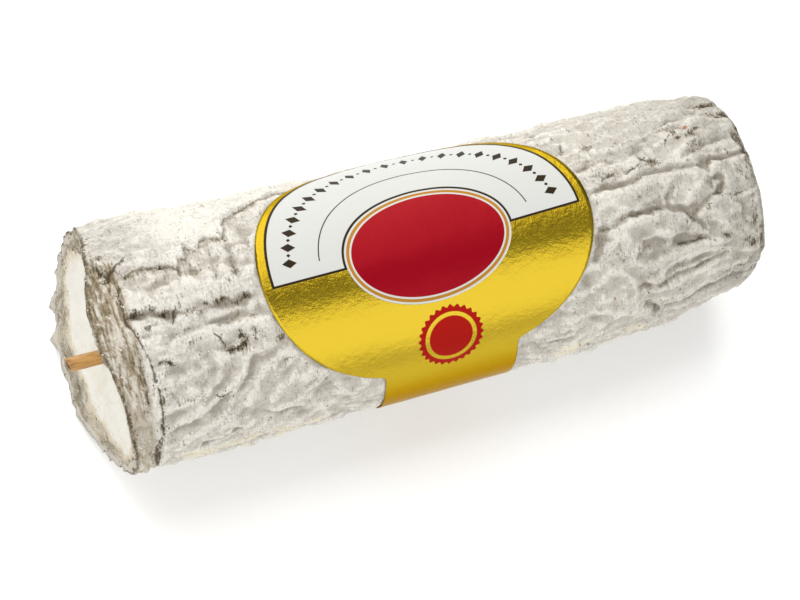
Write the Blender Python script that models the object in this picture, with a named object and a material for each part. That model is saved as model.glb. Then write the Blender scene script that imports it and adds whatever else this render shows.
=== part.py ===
"""A ripened goat cheese log on its side, with a straw through it and a foil label round it.

Lengths are in millimetres until a mesh is written, where they become metres. X runs along
the log with the large end at -X, Y points to the back and +Z is up. Angles round the log
are in degrees from the top (+Z), positive toward the front (-Y).
"""

import math

import bmesh
import bpy
import numpy as np
from mathutils import Vector, noise

MM = 0.001
ORIGIN_X = 0.13
ORIGIN_Y = 0.35

# The log
LEFT_RIM_X = -66.4
RIGHT_RIM_X = 73.7
RADIUS_STATIONS = ((-68.0, 25.3), (-48.0, 25.1), (-23.0, 24.4), (16.0, 24.2), (38.0, 24.0),
                   (47.0, 23.6), (56.0, 22.9), (61.0, 22.3), (66.0, 21.5), (71.0, 20.7), (74.0, 20.2))
LARGE_END_RADIUS = 25.2
AXIS_FALL = 0.0105
FLAT_SINK = 0.35
SIDE_SHIFT_STATIONS = ((-68.0, 0.1), (-45.0, 0.0), (-20.0, -0.5), (30.0, -0.4),
                       (50.0, 0.1), (62.0, 0.9), (74.0, 1.5))
LEFT_EDGE_RADIUS = 0.7
LEFT_EDGE_DROP = 0.6
LEFT_EDGE_TURNS = (0.0, 0.6, 1.1)
RIGHT_EDGE_RADIUS = 4.2
RIGHT_EDGE_TURNS = (0.35, 0.7, 1.05, 1.4)
STATIONS = 62
SECTORS = 60
FACE_RINGS = 6

# The dished large end: how far its rim stands out past LEFT_RIM_X, by angle
RIM_OUTSTAND = ((-76.0, 0.0), (-46.0, 0.4), (-26.0, 1.8), (-16.0, 3.0), (-1.0, 3.9), (14.0, 3.8),
                (24.0, 2.6), (34.0, 1.7), (54.0, 1.1), (74.0, 0.5), (104.0, 0.5), (128.0, 2.0),
                (141.0, 2.9), (153.0, 4.2), (164.0, 5.0), (176.0, 5.7), (196.0, 6.0), (216.0, 5.2),
                (237.0, 3.6), (254.0, 1.9), (284.0, 0.0))
DISH_DEPTH = 0.5
DISH_POWER = 1.7
DISH_LUMPS = 0.35
SMALL_END_CROWN = 0.3
SMALL_END_POWER = 2.0
SMALL_END_LUMPS = 0.25

# The straw and its bore
STRAW_RADIUS = 1.5
STRAW_BORE_RADIUS = 1.0
STRAW_CLEARANCE = 0.3
STRAW_LEFT_X = -73.9
STRAW_RIGHT_X = 74.6
STRAW_SLANT = 0.45
STRAW_SIDE = -0.8
STRAW_SECTORS = 24

# The foil label
LABEL_X = -1.3
LABEL_ANGLE = 1.5
LABEL_TURN = math.radians(-2.0)
LABEL_HALF_LENGTH = 35.2
LABEL_HALF_WIDTH_BACK = 29.0
LABEL_HALF_WIDTH_FRONT = 28.0
TONGUE_HALF_WIDTH = 14.4
TONGUE_END = 52.0
LABEL_GAP = 0.3
LABEL_THICKNESS = 0.35
LABEL_ROWS_BODY = 24
LABEL_ROWS_TONGUE = 12
LABEL_COLUMNS = 18
LABEL_BACK_TURN = math.radians(8.0)
LABEL_FRONT_TURN = math.radians(152.0)
LABEL_RADIUS = 24.3
LABEL_MARGIN = 3.2
LABEL_MARGIN_FADE = 0.8

# Relief of the rind
SWELL_HEIGHT = 0.55
SWELL_SIZE = 15.0
LUMP_HEIGHT = 0.35
LUMP_SIZE = 6.0
RELIEF_SEED = 11.3
FINEST_WIDTH = 1.3
RELIEF_TOP = 0.85
RELIEF_BOTTOM = -1.6

# Creases and ridges as (height, half width, ((x, angle), ...)); a crease has a negative height
FOLDS = (
    (-0.95, 1.0, ((-62.2, 3), (-56.2, 4), (-50.7, 6), (-42.7, 7), (-33.7, 5))),
    (0.55, 1.6, ((-60.7, -2), (-50.7, -3), (-42.7, -3), (-33.7, -2))),
    (-0.45, 1.4, ((-54.7, 17), (-45.7, 15), (-37.7, 16))),
    (0.40, 2.0, ((-59.7, 53), (-54.7, 50), (-47.7, 44), (-42.7, 33), (-38.7, 28))),
    (0.35, 2.2, ((-52.7, 84), (-44.7, 76), (-34.7, 71), (-24.7, 74))),
    (-1.0, 0.9, ((-63.9, -18), (-63.7, 2), (-62.7, 14), (-61.2, 24), (-60.9, 46), (-61.9, 68),
                 (-62.3, 92))),
    (0.40, 1.3, ((-60.7, 14), (-59.5, 26), (-59.3, 48), (-60.2, 76))),
    (-0.60, 1.2, ((34.8, -4), (44.3, -4), (50.3, -6), (59.3, -4), (69.3, -4))),
    (0.40, 2.0, ((36.3, 2), (46.3, 1), (52.3, 3), (58.3, 9))),
    (-0.55, 1.2, ((35.8, 16), (44.3, 14), (50.8, 16), (54.8, 21), (57.8, 30))),
    (0.45, 1.8, ((39.8, 21), (46.3, 20), (52.3, 25), (55.3, 34))),
    (-0.45, 1.3, ((55.8, 26), (59.3, 18), (63.3, 14), (64.3, 7))),
    (-0.50, 1.4, ((41.3, 35), (46.3, 42), (54.3, 37), (61.3, 38))),
    (-0.60, 1.4, ((43.8, 64), (46.3, 72), (53.3, 74), (63.3, 72))),
    (-0.70, 1.5, ((66.3, -46), (71.3, -45), (73.3, -40))),
)
CAP_EDGE = ((-67.0, -26), (-63.0, -22), (-60.7, -18), (-54.7, -18), (-51.2, -17), (-48.4, -27),
            (-45.2, -25), (-41.7, -26), (-38.5, -37), (-34.7, -44), (-28.7, -52), (-20.0, -62))
CAP_HEIGHT = 0.55
CAP_STEP = 0.9
CAP_FAR_SIDE = (-130.0, -95.0)
CAP_FADE_X = (-32.0, -16.0)
CAP_HOLLOW_WIDTH = 9.0
BAND_END_X = -61.5
BAND_EDGE = (1.5, 0.5)
BAND_TOP = (-30.0, -18.0)
BAND_DEPTH = 0.55
BAND_GROOVES = 3.1
RIM_FLAKE_HEIGHT = 0.5
RIM_FLAKE_SIZE = 2.2
RIM_FLAKE_TURN = 9.0


def table(stations, value):
    """Reads a smooth table of (place, amount) pairs at one or many places."""
    places = [pair[0] for pair in stations]
    amounts = [pair[1] for pair in stations]
    return np.interp(value, places, amounts)


def wrap(angle, start=-76.0):
    """Brings an angle in degrees into one turn that begins at start."""
    return (angle - start) % 360.0 + start


def step(low, high, value):
    """A smooth step from 0 at low to 1 at high."""
    part = np.clip((value - low) / (high - low), 0.0, 1.0)
    return part * part * (3.0 - 2.0 * part)


def plain_radius(x):
    """The radius of the log without its relief."""
    return table(RADIUS_STATIONS, x)


def axis_height(x):
    """The height of the log's centre line, so that its underside lies on the floor."""
    return LARGE_END_RADIUS - FLAT_SINK - AXIS_FALL * (x - LEFT_RIM_X)


def side_shift(x):
    """How far the log's centre line stands toward the back."""
    return table(SIDE_SHIFT_STATIONS, x)


def surface_point(x, angle, radius):
    """A point of the log's skin, from its place, angle and radius."""
    turn = np.radians(angle)
    return (x, side_shift(x) - radius * np.sin(turn), axis_height(x) + radius * np.cos(turn))


def noise_at(points, size, seed):
    """Smooth noise between about -1 and 1 at each point, with lumps of the given size."""
    shift = Vector((seed, -seed, 0.5 * seed))
    return np.array([noise.noise(Vector(point) / size + shift) for point in points])


def path_distance(x, angle, path):
    """The distance in mm along the skin from each place to a path of (x, angle) points."""
    across = np.radians(angle) * LABEL_RADIUS
    nearest = np.full(x.shape, 1.0e6)
    for (x0, a0), (x1, a1) in zip(path[:-1], path[1:]):
        y0 = math.radians(a0) * LABEL_RADIUS
        dx = x1 - x0
        dy = math.radians(a1) * LABEL_RADIUS - y0
        along = np.clip(((x - x0) * dx + (across - y0) * dy) / (dx * dx + dy * dy), 0.0, 1.0)
        nearest = np.minimum(nearest, np.hypot(x - x0 - along * dx, across - y0 - along * dy))
    return nearest


def label_place(x, angle):
    """Label coordinates (along the log, round the log) of places on the skin."""
    along = x - LABEL_X
    across = np.radians(angle - LABEL_ANGLE) * LABEL_RADIUS
    cosine, sine = math.cos(LABEL_TURN), math.sin(LABEL_TURN)
    return along * cosine + across * sine, across * cosine - along * sine


def label_half_length(v):
    """Half the label's length at a place v round the log."""
    width = LABEL_HALF_WIDTH_FRONT if v > 0.0 else LABEL_HALF_WIDTH_BACK
    oval = LABEL_HALF_LENGTH * math.sqrt(max(0.0, 1.0 - (v / width) ** 2))
    return max(oval, TONGUE_HALF_WIDTH) if v > 0.0 else oval


def outside_label(x, angle):
    """About how far in mm each place of the skin is outside the label's outline."""
    u, v = label_place(x, angle)
    width = np.where(v > 0.0, LABEL_HALF_WIDTH_FRONT, LABEL_HALF_WIDTH_BACK)
    reach = np.hypot(u / LABEL_HALF_LENGTH, v / width)
    body = (reach - 1.0) * width
    tongue = np.maximum(np.abs(u) - TONGUE_HALF_WIDTH, np.maximum(-v, v - TONGUE_END))
    return np.minimum(body, tongue)


def rind_relief(x, angle, points):
    """The height of the rind over the plain log: swells, lumps, cap, band and folds."""
    angle = wrap(angle, -180.0)
    relief = SWELL_HEIGHT * noise_at(points, SWELL_SIZE, RELIEF_SEED)
    relief += LUMP_HEIGHT * noise_at(points, LUMP_SIZE, 2.0 * RELIEF_SEED)

    cap_angle = table(CAP_EDGE, x)
    above = np.radians(cap_angle - angle) * LABEL_RADIUS
    on_cap = step(-CAP_STEP, CAP_STEP, above) * step(*CAP_FAR_SIDE, angle)
    below_cap = step(-CAP_HOLLOW_WIDTH, -CAP_STEP, above) * (1.0 - on_cap)
    near_end = 1.0 - step(*CAP_FADE_X, x)
    relief += near_end * (CAP_HEIGHT * on_cap - 0.5 * CAP_HEIGHT * below_cap)

    in_band = (1.0 - step(BAND_END_X - BAND_EDGE[0], BAND_END_X + BAND_EDGE[1], x)) * step(*BAND_TOP, angle)
    grooves = 0.5 + 0.5 * np.sin((x - LEFT_RIM_X) * (2.0 * math.pi / BAND_GROOVES))
    relief -= BAND_DEPTH * in_band * (0.4 + 0.6 * grooves)

    for height, half_width, path in FOLDS:
        width = max(half_width, FINEST_WIDTH)
        distance = path_distance(x, angle, path)
        relief += height * np.exp(-((distance / width) ** 2))

    relief = np.clip(relief, RELIEF_BOTTOM, RELIEF_TOP)
    outside = outside_label(x, angle)
    near_label = 1.0 - step(LABEL_MARGIN, 2.0 * LABEL_MARGIN, outside)
    under_label = 1.0 - step(LABEL_MARGIN - LABEL_MARGIN_FADE, LABEL_MARGIN, outside)
    relief = np.where(relief > 0.0, relief * (1.0 - near_label), relief)
    return relief * (1.0 - under_label)


def skin_rings():
    """Points of the log's outer skin, ring by ring, from the large end to the small one."""
    angles = np.arange(SECTORS) * (360.0 / SECTORS)
    outstand = table(RIM_OUTSTAND, wrap(angles))
    turns = np.radians(angles)
    circle = RIM_FLAKE_TURN * np.column_stack((np.cos(turns), np.sin(turns), np.zeros(SECTORS)))
    left = LEFT_RIM_X - outstand - RIM_FLAKE_HEIGHT * noise_at(circle, RIM_FLAKE_SIZE, RELIEF_SEED)
    rings = []
    for turn in LEFT_EDGE_TURNS:
        inset = LEFT_EDGE_RADIUS * (1.0 - math.cos(turn))
        drop = LEFT_EDGE_RADIUS * LEFT_EDGE_DROP * (1.0 - math.sin(turn))
        rings.append((left + inset, np.full(SECTORS, -drop)))
    start = left + LEFT_EDGE_RADIUS
    end = RIGHT_RIM_X - RIGHT_EDGE_RADIUS
    for k in range(STATIONS):
        rings.append((start + (end - start) * k / (STATIONS - 1.0), np.zeros(SECTORS)))
    for turn in RIGHT_EDGE_TURNS:
        inset = RIGHT_EDGE_RADIUS * (1.0 - math.cos(turn))
        rings.append((np.full(SECTORS, end + RIGHT_EDGE_RADIUS * math.sin(turn)), np.full(SECTORS, -inset)))
    result = []
    for x, inward in rings:
        base = np.column_stack(surface_point(x, angles, plain_radius(x)))
        relief = rind_relief(x, angles, base)
        x1, y, z = surface_point(x, angles, plain_radius(x) + inward + relief)
        result.append(np.column_stack((x1, y, np.maximum(z, 0.0))))
    return result


def face_rings(rim, centre_x, power, bore_x, lumps):
    """Rings of an end face between its rim and the straw's bore."""
    axis = np.array((STRAW_SIDE, axis_height(bore_x)))
    bore = STRAW_RADIUS + STRAW_CLEARANCE
    rings = []
    for k in range(1, FACE_RINGS + 1):
        share = 1.0 - k / FACE_RINGS
        flat = rim[:, 1:] - axis
        reach = np.linalg.norm(flat, axis=1)
        radius = bore + (reach - bore) * share
        place = axis + flat * (radius / reach)[:, None]
        rho = radius / reach
        x = centre_x + (rim[:, 0] - centre_x) * rho ** power
        fade = 4.0 * share * (1.0 - share)
        points = np.column_stack((x, place))
        points[:, 0] += lumps * fade * noise_at(points, LUMP_SIZE, 3.0 * RELIEF_SEED)
        rings.append(points)
    return rings


def write_mesh(name, points, faces, colour, metallic, roughness):
    """Makes a named object with its own material from points in mm."""
    mesh = bpy.data.meshes.new(name)
    centred = (np.asarray(points) - np.array((ORIGIN_X, ORIGIN_Y, 0.0))) * MM
    mesh.from_pydata(centred.tolist(), [], faces)
    shape = bmesh.new()
    shape.from_mesh(mesh)
    bmesh.ops.recalc_face_normals(shape, faces=shape.faces)
    bmesh.ops.triangulate(shape, faces=shape.faces)
    shape.to_mesh(mesh)
    shape.free()
    mesh.validate()
    mesh.polygons.foreach_set("use_smooth", [True] * len(mesh.polygons))
    piece = bpy.data.objects.new(name, mesh)
    bpy.context.scene.collection.objects.link(piece)
    material = bpy.data.materials.new(name)
    material.use_nodes = True
    shader = material.node_tree.nodes["Principled BSDF"]
    shader.inputs["Base Color"].default_value = (*colour, 1.0)
    shader.inputs["Metallic"].default_value = metallic
    shader.inputs["Roughness"].default_value = roughness
    mesh.materials.append(material)
    return piece


def band_faces(rings, count, closed):
    """Quads between neighbouring rings of count points; a closed stack joins last to first."""
    faces = []
    pairs = rings if closed else rings - 1
    for k in range(pairs):
        lower = k * count
        upper = ((k + 1) % rings) * count
        for s in range(count):
            t = (s + 1) % count
            faces.append((lower + s, lower + t, upper + t, upper + s))
    return faces


def make_cheese():
    """The cheese: skin, dished large end, crowned small end and the straw's bore."""
    skin = skin_rings()
    dish_x = LEFT_RIM_X + DISH_DEPTH
    left = face_rings(skin[0], dish_x, DISH_POWER, dish_x, DISH_LUMPS)
    crown_x = RIGHT_RIM_X + SMALL_END_CROWN
    right = face_rings(skin[-1], crown_x, SMALL_END_POWER, crown_x, SMALL_END_LUMPS)
    rings = skin + right + left[::-1]
    points = np.concatenate(rings)
    faces = band_faces(len(rings), SECTORS, True)
    return write_mesh("cheese_log", points, faces, (0.78, 0.74, 0.67), 0.0, 0.85)


def make_straw():
    """The hollow straw, cut a little on the slant at its free end."""
    angles = np.arange(STRAW_SECTORS) * (2.0 * math.pi / STRAW_SECTORS)
    rings = []
    for radius, order in ((STRAW_RADIUS, (0, 1)), (STRAW_BORE_RADIUS, (1, 0))):
        for side in order:
            x = STRAW_LEFT_X if side == 0 else STRAW_RIGHT_X
            y = STRAW_SIDE + radius * np.sin(angles)
            z = axis_height(x) + radius * np.cos(angles)
            slant = -STRAW_SLANT * np.sin(angles) if side == 0 else np.zeros(STRAW_SECTORS)
            rings.append(np.column_stack((x + slant * radius / STRAW_RADIUS, y, z)))
    faces = band_faces(len(rings), STRAW_SECTORS, True)
    return write_mesh("straw", np.concatenate(rings), faces, (0.50, 0.27, 0.08), 0.0, 0.6)


def make_label():
    """The foil label: an oval with a tongue that goes down the front and under the log."""
    rows = []
    for k in range(LABEL_ROWS_BODY):
        turn = LABEL_BACK_TURN + (LABEL_FRONT_TURN - LABEL_BACK_TURN) * k / (LABEL_ROWS_BODY - 1.0)
        reach = -math.cos(turn)
        rows.append(reach * (LABEL_HALF_WIDTH_BACK if reach < 0.0 else LABEL_HALF_WIDTH_FRONT))
    last = rows[-1]
    for k in range(1, LABEL_ROWS_TONGUE + 1):
        rows.append(last + (TONGUE_END - last) * k / LABEL_ROWS_TONGUE)
    columns = LABEL_COLUMNS + 1
    cosine, sine = math.cos(LABEL_TURN), math.sin(LABEL_TURN)
    layers = []
    for lift in (LABEL_GAP, LABEL_GAP + LABEL_THICKNESS):
        points = []
        for v in rows:
            u = label_half_length(v) * np.linspace(-1.0, 1.0, columns)
            x = LABEL_X + u * cosine - v * sine
            angle = LABEL_ANGLE + np.degrees((u * sine + v * cosine) / LABEL_RADIUS)
            points.append(np.column_stack(surface_point(x, angle, plain_radius(x) + lift)))
        layers.append(np.concatenate(points))
    total = len(rows) * columns
    faces = []
    for k in range(len(rows) - 1):
        for s in range(columns - 1):
            a = k * columns + s
            b = a + columns
            faces.append((a, b, b + 1, a + 1))
            faces.append((total + a, total + a + 1, total + b + 1, total + b))
    edge = list(range(columns))
    edge += [k * columns + columns - 1 for k in range(1, len(rows))]
    edge += [(len(rows) - 1) * columns + s for s in range(columns - 2, -1, -1)]
    edge += [k * columns for k in range(len(rows) - 2, 0, -1)]
    for a, b in zip(edge, edge[1:] + edge[:1]):
        faces.append((a, b, total + b, total + a))
    return write_mesh("label", np.concatenate(layers), faces, (0.80, 0.60, 0.08), 0.9, 0.35)


def main():
    for item in list(bpy.data.objects):
        bpy.data.objects.remove(item, do_unlink=True)
    make_cheese()
    make_straw()
    make_label()


main()
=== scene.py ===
"""Dresses a ripened goat cheese log: its mould rind, the dished large end, the straw and the foil label.

Lengths are in millimetres until a mesh is written, and angles round the log are in degrees
from the top, positive toward the front. X runs along the log, with the large end at -X.
"""

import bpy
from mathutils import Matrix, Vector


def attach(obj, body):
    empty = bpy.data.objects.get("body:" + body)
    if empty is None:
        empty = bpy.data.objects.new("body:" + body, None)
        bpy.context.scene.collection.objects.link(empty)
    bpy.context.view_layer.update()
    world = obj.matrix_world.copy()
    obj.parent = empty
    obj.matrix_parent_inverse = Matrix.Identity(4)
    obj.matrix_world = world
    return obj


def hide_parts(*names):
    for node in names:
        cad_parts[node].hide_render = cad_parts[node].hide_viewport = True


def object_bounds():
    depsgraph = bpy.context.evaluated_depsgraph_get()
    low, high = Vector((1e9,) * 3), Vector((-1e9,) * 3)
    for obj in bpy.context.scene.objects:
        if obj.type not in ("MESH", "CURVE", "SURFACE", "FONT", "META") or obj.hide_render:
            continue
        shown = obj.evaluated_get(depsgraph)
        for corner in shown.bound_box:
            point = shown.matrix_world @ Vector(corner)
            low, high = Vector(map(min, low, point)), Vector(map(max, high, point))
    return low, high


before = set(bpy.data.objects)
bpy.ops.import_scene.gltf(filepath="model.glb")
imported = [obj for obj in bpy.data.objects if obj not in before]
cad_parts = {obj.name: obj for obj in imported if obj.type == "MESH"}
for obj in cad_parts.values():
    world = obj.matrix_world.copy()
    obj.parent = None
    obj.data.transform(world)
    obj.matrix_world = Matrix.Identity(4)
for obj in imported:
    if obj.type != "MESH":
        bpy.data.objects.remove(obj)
CAD_BOX = [list(corner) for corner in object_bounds()]

import logging
import math
from dataclasses import dataclass
from enum import Enum
from typing import Callable, Iterable, Sequence

import bmesh
import bpy
import numpy as np
from mathutils import Matrix, Vector, noise

LOG = logging.getLogger("goat_cheese_log")
MM = 0.001
ORIGIN = np.array((0.13, 0.35, 0.0))  # the frame's origin, in mm of this script
LAYOUT_SIZE = 120.0  # the square of the label's layout, in mm

Stations = tuple[tuple[float, float], ...]
Stations3 = tuple[tuple[float, float, float], ...]
Colour = tuple[float, float, float]


def tint(red: int, green: int, blue: int) -> Colour:
    """Turns a display colour of 0 to 255 a channel into the linear one that a shader takes.

    Args:
        red: The red channel.
        green: The green channel.
        blue: The blue channel.

    Returns:
        The three linear channels.
    """
    channels = (red / 255.0, green / 255.0, blue / 255.0)
    return tuple(c / 12.92 if c <= 0.04045 else ((c + 0.055) / 1.055) ** 2.4 for c in channels)


def table(stations: Stations, value: np.ndarray | float) -> np.ndarray:
    """Reads a table of (place, amount) pairs.

    Args:
        stations: The pairs, in rising order of place.
        value: One or many places.

    Returns:
        The amounts at those places.
    """
    return np.interp(value, [pair[0] for pair in stations], [pair[1] for pair in stations])


def step(low: float, high: float, value: np.ndarray) -> np.ndarray:
    """A smooth step.

    Args:
        low: Where the step starts.
        high: Where it ends.
        value: The places.

    Returns:
        0 before low, 1 after high and a smooth rise between.
    """
    part = unit((value - low) / (high - low))
    return part * part * (3.0 - 2.0 * part)


def drop(low: float, high: float, value: np.ndarray) -> np.ndarray:
    """A smooth step down from 1 at low to 0 at high."""
    return 1.0 - step(low, high, value)


def unit(value: np.ndarray) -> np.ndarray:
    """Holds values between 0 and 1."""
    return np.clip(value, 0.0, 1.0)


def wrap(angle: np.ndarray, start: float = -180.0) -> np.ndarray:
    """Brings angles in degrees into one turn that begins at start."""
    return (angle - start) % 360.0 + start


class GrainNoise:
    """Seeded gradient noise that works on whole arrays of points."""

    gain = 1.6
    shift = 17.7

    def __init__(self, seed: int) -> None:
        """Draws the lattice of directions from the seed."""
        draw = np.random.default_rng(seed)
        order = draw.permutation(256)
        self.order = np.concatenate((order, order, order[:2]))
        directions = draw.normal(size=(256, 3))
        self.directions = directions / np.linalg.norm(directions, axis=1)[:, None]

    def at(self, points: np.ndarray) -> np.ndarray:
        """Noise between about -1 and 1.

        Args:
            points: Rows of three coordinates, in units of one lump.

        Returns:
            One value for each row.
        """
        cell = np.floor(points).astype(np.int64)
        part = points - cell
        ease = part**3 * (part * (part * 6.0 - 15.0) + 10.0)
        cell &= 255
        total = np.zeros(len(points))
        for corner in np.ndindex(2, 2, 2):
            place = self.order[cell[:, 0] + corner[0]] + cell[:, 1] + corner[1]
            place = self.order[place & 255] + cell[:, 2] + corner[2]
            slope = self.directions[self.order[place & 255]]
            weight = np.prod(np.where(corner, ease, 1.0 - ease), axis=1)
            total += weight * np.einsum("ij,ij->i", slope, part - corner)
        return self.gain * total

    def layers(self, points: np.ndarray, size: float | Sequence[float], count: int) -> np.ndarray:
        """Sums noise at the given size and at halves of it.

        Args:
            points: Rows of three coordinates in mm.
            size: The size of the largest lumps in mm, one for all or one an axis.
            count: How many sizes are summed.

        Returns:
            One value for each row, between about -1 and 1.
        """
        total = np.zeros(len(points))
        for k in range(count):
            total += 0.5**k * self.at(points / np.asarray(size) * 2.0**k + self.shift * k)
        return total


@dataclass(frozen=True)
class LogForm:
    """The plain form of the log, as the solids have it."""

    left_rim_x: float = -66.4
    right_rim_x: float = 73.7
    radius_stations: Stations = (
        (-68, 25.3), (-48, 25.1), (-23, 24.4), (16, 24.2), (38, 24),
        (47, 23.6), (56, 22.9), (61, 22.3), (66, 21.5), (71, 20.7), (74, 20.2),
    )
    shift_stations: Stations = (
        (-68, 0.1), (-45, 0), (-20, -0.5), (30, -0.4), (50, 0.1), (62, 0.9), (74, 1.5),
    )
    large_end_radius: float = 25.2
    axis_fall: float = 0.0105
    flat_sink: float = 0.35
    skin_radius: float = 24.3
    left_edge: float = 0.7
    right_edge: float = 4.2
    right_edge_share: Stations = (
        (-180, 1), (-100, 1), (-60, 0.6), (-12, 0.65), (8, 0.9), (28, 0.75), (62, 0.55), (90, 0.8), (120, 1),
    )
    right_outstand: Stations = ((-180, 0), (10, 0), (40, 0.3), (60, 0.45), (90, 0.1), (110, 0))
    dish_depth: float = 0.5
    dish_power: float = 1.7
    small_end_crown: float = 0.3
    rim_start: float = -76.0
    rim_outstand: Stations = (
        (-76, 0), (-46, 0.4), (-26, 1.8), (-16, 3), (-1, 3.9), (14, 3.8),
        (24, 2.6), (34, 1.7), (54, 1.1), (74, 0.5), (104, 0.5), (128, 2),
        (141, 2.9), (153, 4.2), (164, 5), (176, 5.7), (196, 6), (216, 5.2),
        (237, 3.6), (254, 1.9), (284, 0),
    )
    straw_radius: float = 1.5
    straw_clearance: float = 0.3
    straw_side: float = -0.8

    def radius(self, x: np.ndarray | float) -> np.ndarray:
        """The radius without relief at places along the log."""
        return table(self.radius_stations, x)

    def height(self, x: np.ndarray | float) -> np.ndarray:
        """The height of the centre line."""
        return self.large_end_radius - self.flat_sink - self.axis_fall * (x - self.left_rim_x)

    def outstand(self, angle: np.ndarray) -> np.ndarray:
        """How far the large end's rim stands out, by angle."""
        return table(self.rim_outstand, wrap(angle, self.rim_start))

    def points(self, x: np.ndarray, angle: np.ndarray, radius: np.ndarray) -> np.ndarray:
        """Points of the skin.

        Args:
            x: Places along the log.
            angle: Angles round it.
            radius: Distances from the centre line.

        Returns:
            Rows of x, y and z in mm.
        """
        turn = np.radians(angle)
        side = table(self.shift_stations, x) - radius * np.sin(turn)
        return np.column_stack((x, side, self.height(x) + radius * np.cos(turn)))


@dataclass(frozen=True)
class LabelForm:
    """The outline of the foil label and its place on the log."""

    x: float = -1.3
    angle: float = 1.5
    turn: float = math.radians(-2.0)
    half_length: float = 35.2
    half_width_back: float = 29.0
    half_width_front: float = 28.0
    tongue_half_width: float = 14.4
    tongue_end: float = 52.0
    skin_radius: float = 24.3

    def place(self, x: np.ndarray, angle: np.ndarray) -> tuple[np.ndarray, np.ndarray]:
        """Label coordinates of places on the skin.

        Args:
            x: Places along the log.
            angle: Angles round it.

        Returns:
            The places along and round the label, in mm from the oval's centre.
        """
        along = x - self.x
        across = np.radians(angle - self.angle) * self.skin_radius
        cosine, sine = math.cos(self.turn), math.sin(self.turn)
        return along * cosine + across * sine, across * cosine - along * sine

    def skin(self, u: np.ndarray, v: np.ndarray) -> tuple[np.ndarray, np.ndarray]:
        """Places and angles on the log of label coordinates."""
        cosine, sine = math.cos(self.turn), math.sin(self.turn)
        x = self.x + u * cosine - v * sine
        return x, self.angle + np.degrees((u * sine + v * cosine) / self.skin_radius)

    def half_length_at(self, v: float) -> float:
        """Half the label's length at a place round the log."""
        width = self.half_width_front if v > 0.0 else self.half_width_back
        oval = self.half_length * math.sqrt(max(0.0, 1.0 - (v / width) ** 2))
        return max(oval, self.tongue_half_width) if v > 0.0 else oval

    def outside(self, x: np.ndarray, angle: np.ndarray) -> np.ndarray:
        """About how far in mm each place of the skin is outside the outline."""
        u, v = self.place(x, angle)
        width = np.where(v > 0.0, self.half_width_front, self.half_width_back)
        scaled = np.hypot(u / self.half_length, v / width)
        slope = np.hypot(u / self.half_length**2, v / width**2) + 1e-9
        body = scaled * (scaled - 1.0) / slope
        tongue = np.maximum(np.abs(u) - self.tongue_half_width, np.maximum(-v, v - self.tongue_end))
        return np.minimum(body, tongue)


@dataclass(frozen=True)
class Fold:
    """A crease or ridge of the rind along a path.

    A crease has a negative height. Its path is given on the shown side, as places along the log
    from the shown middle and angles from the line that faces the viewer. Stain says how dark its
    bottom and sides are painted, which is brown staining and, in the deeper creases and hollows,
    painted shade. Shoulder says how high the rind rises beside it.
    """

    height: float
    half_width: float
    path: tuple[tuple[float, float], ...]
    stain: float = 0.0
    shoulder: float = 0.0


SHOWN_X = -5.7
SHOWN_ANGLE = 14.0

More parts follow.
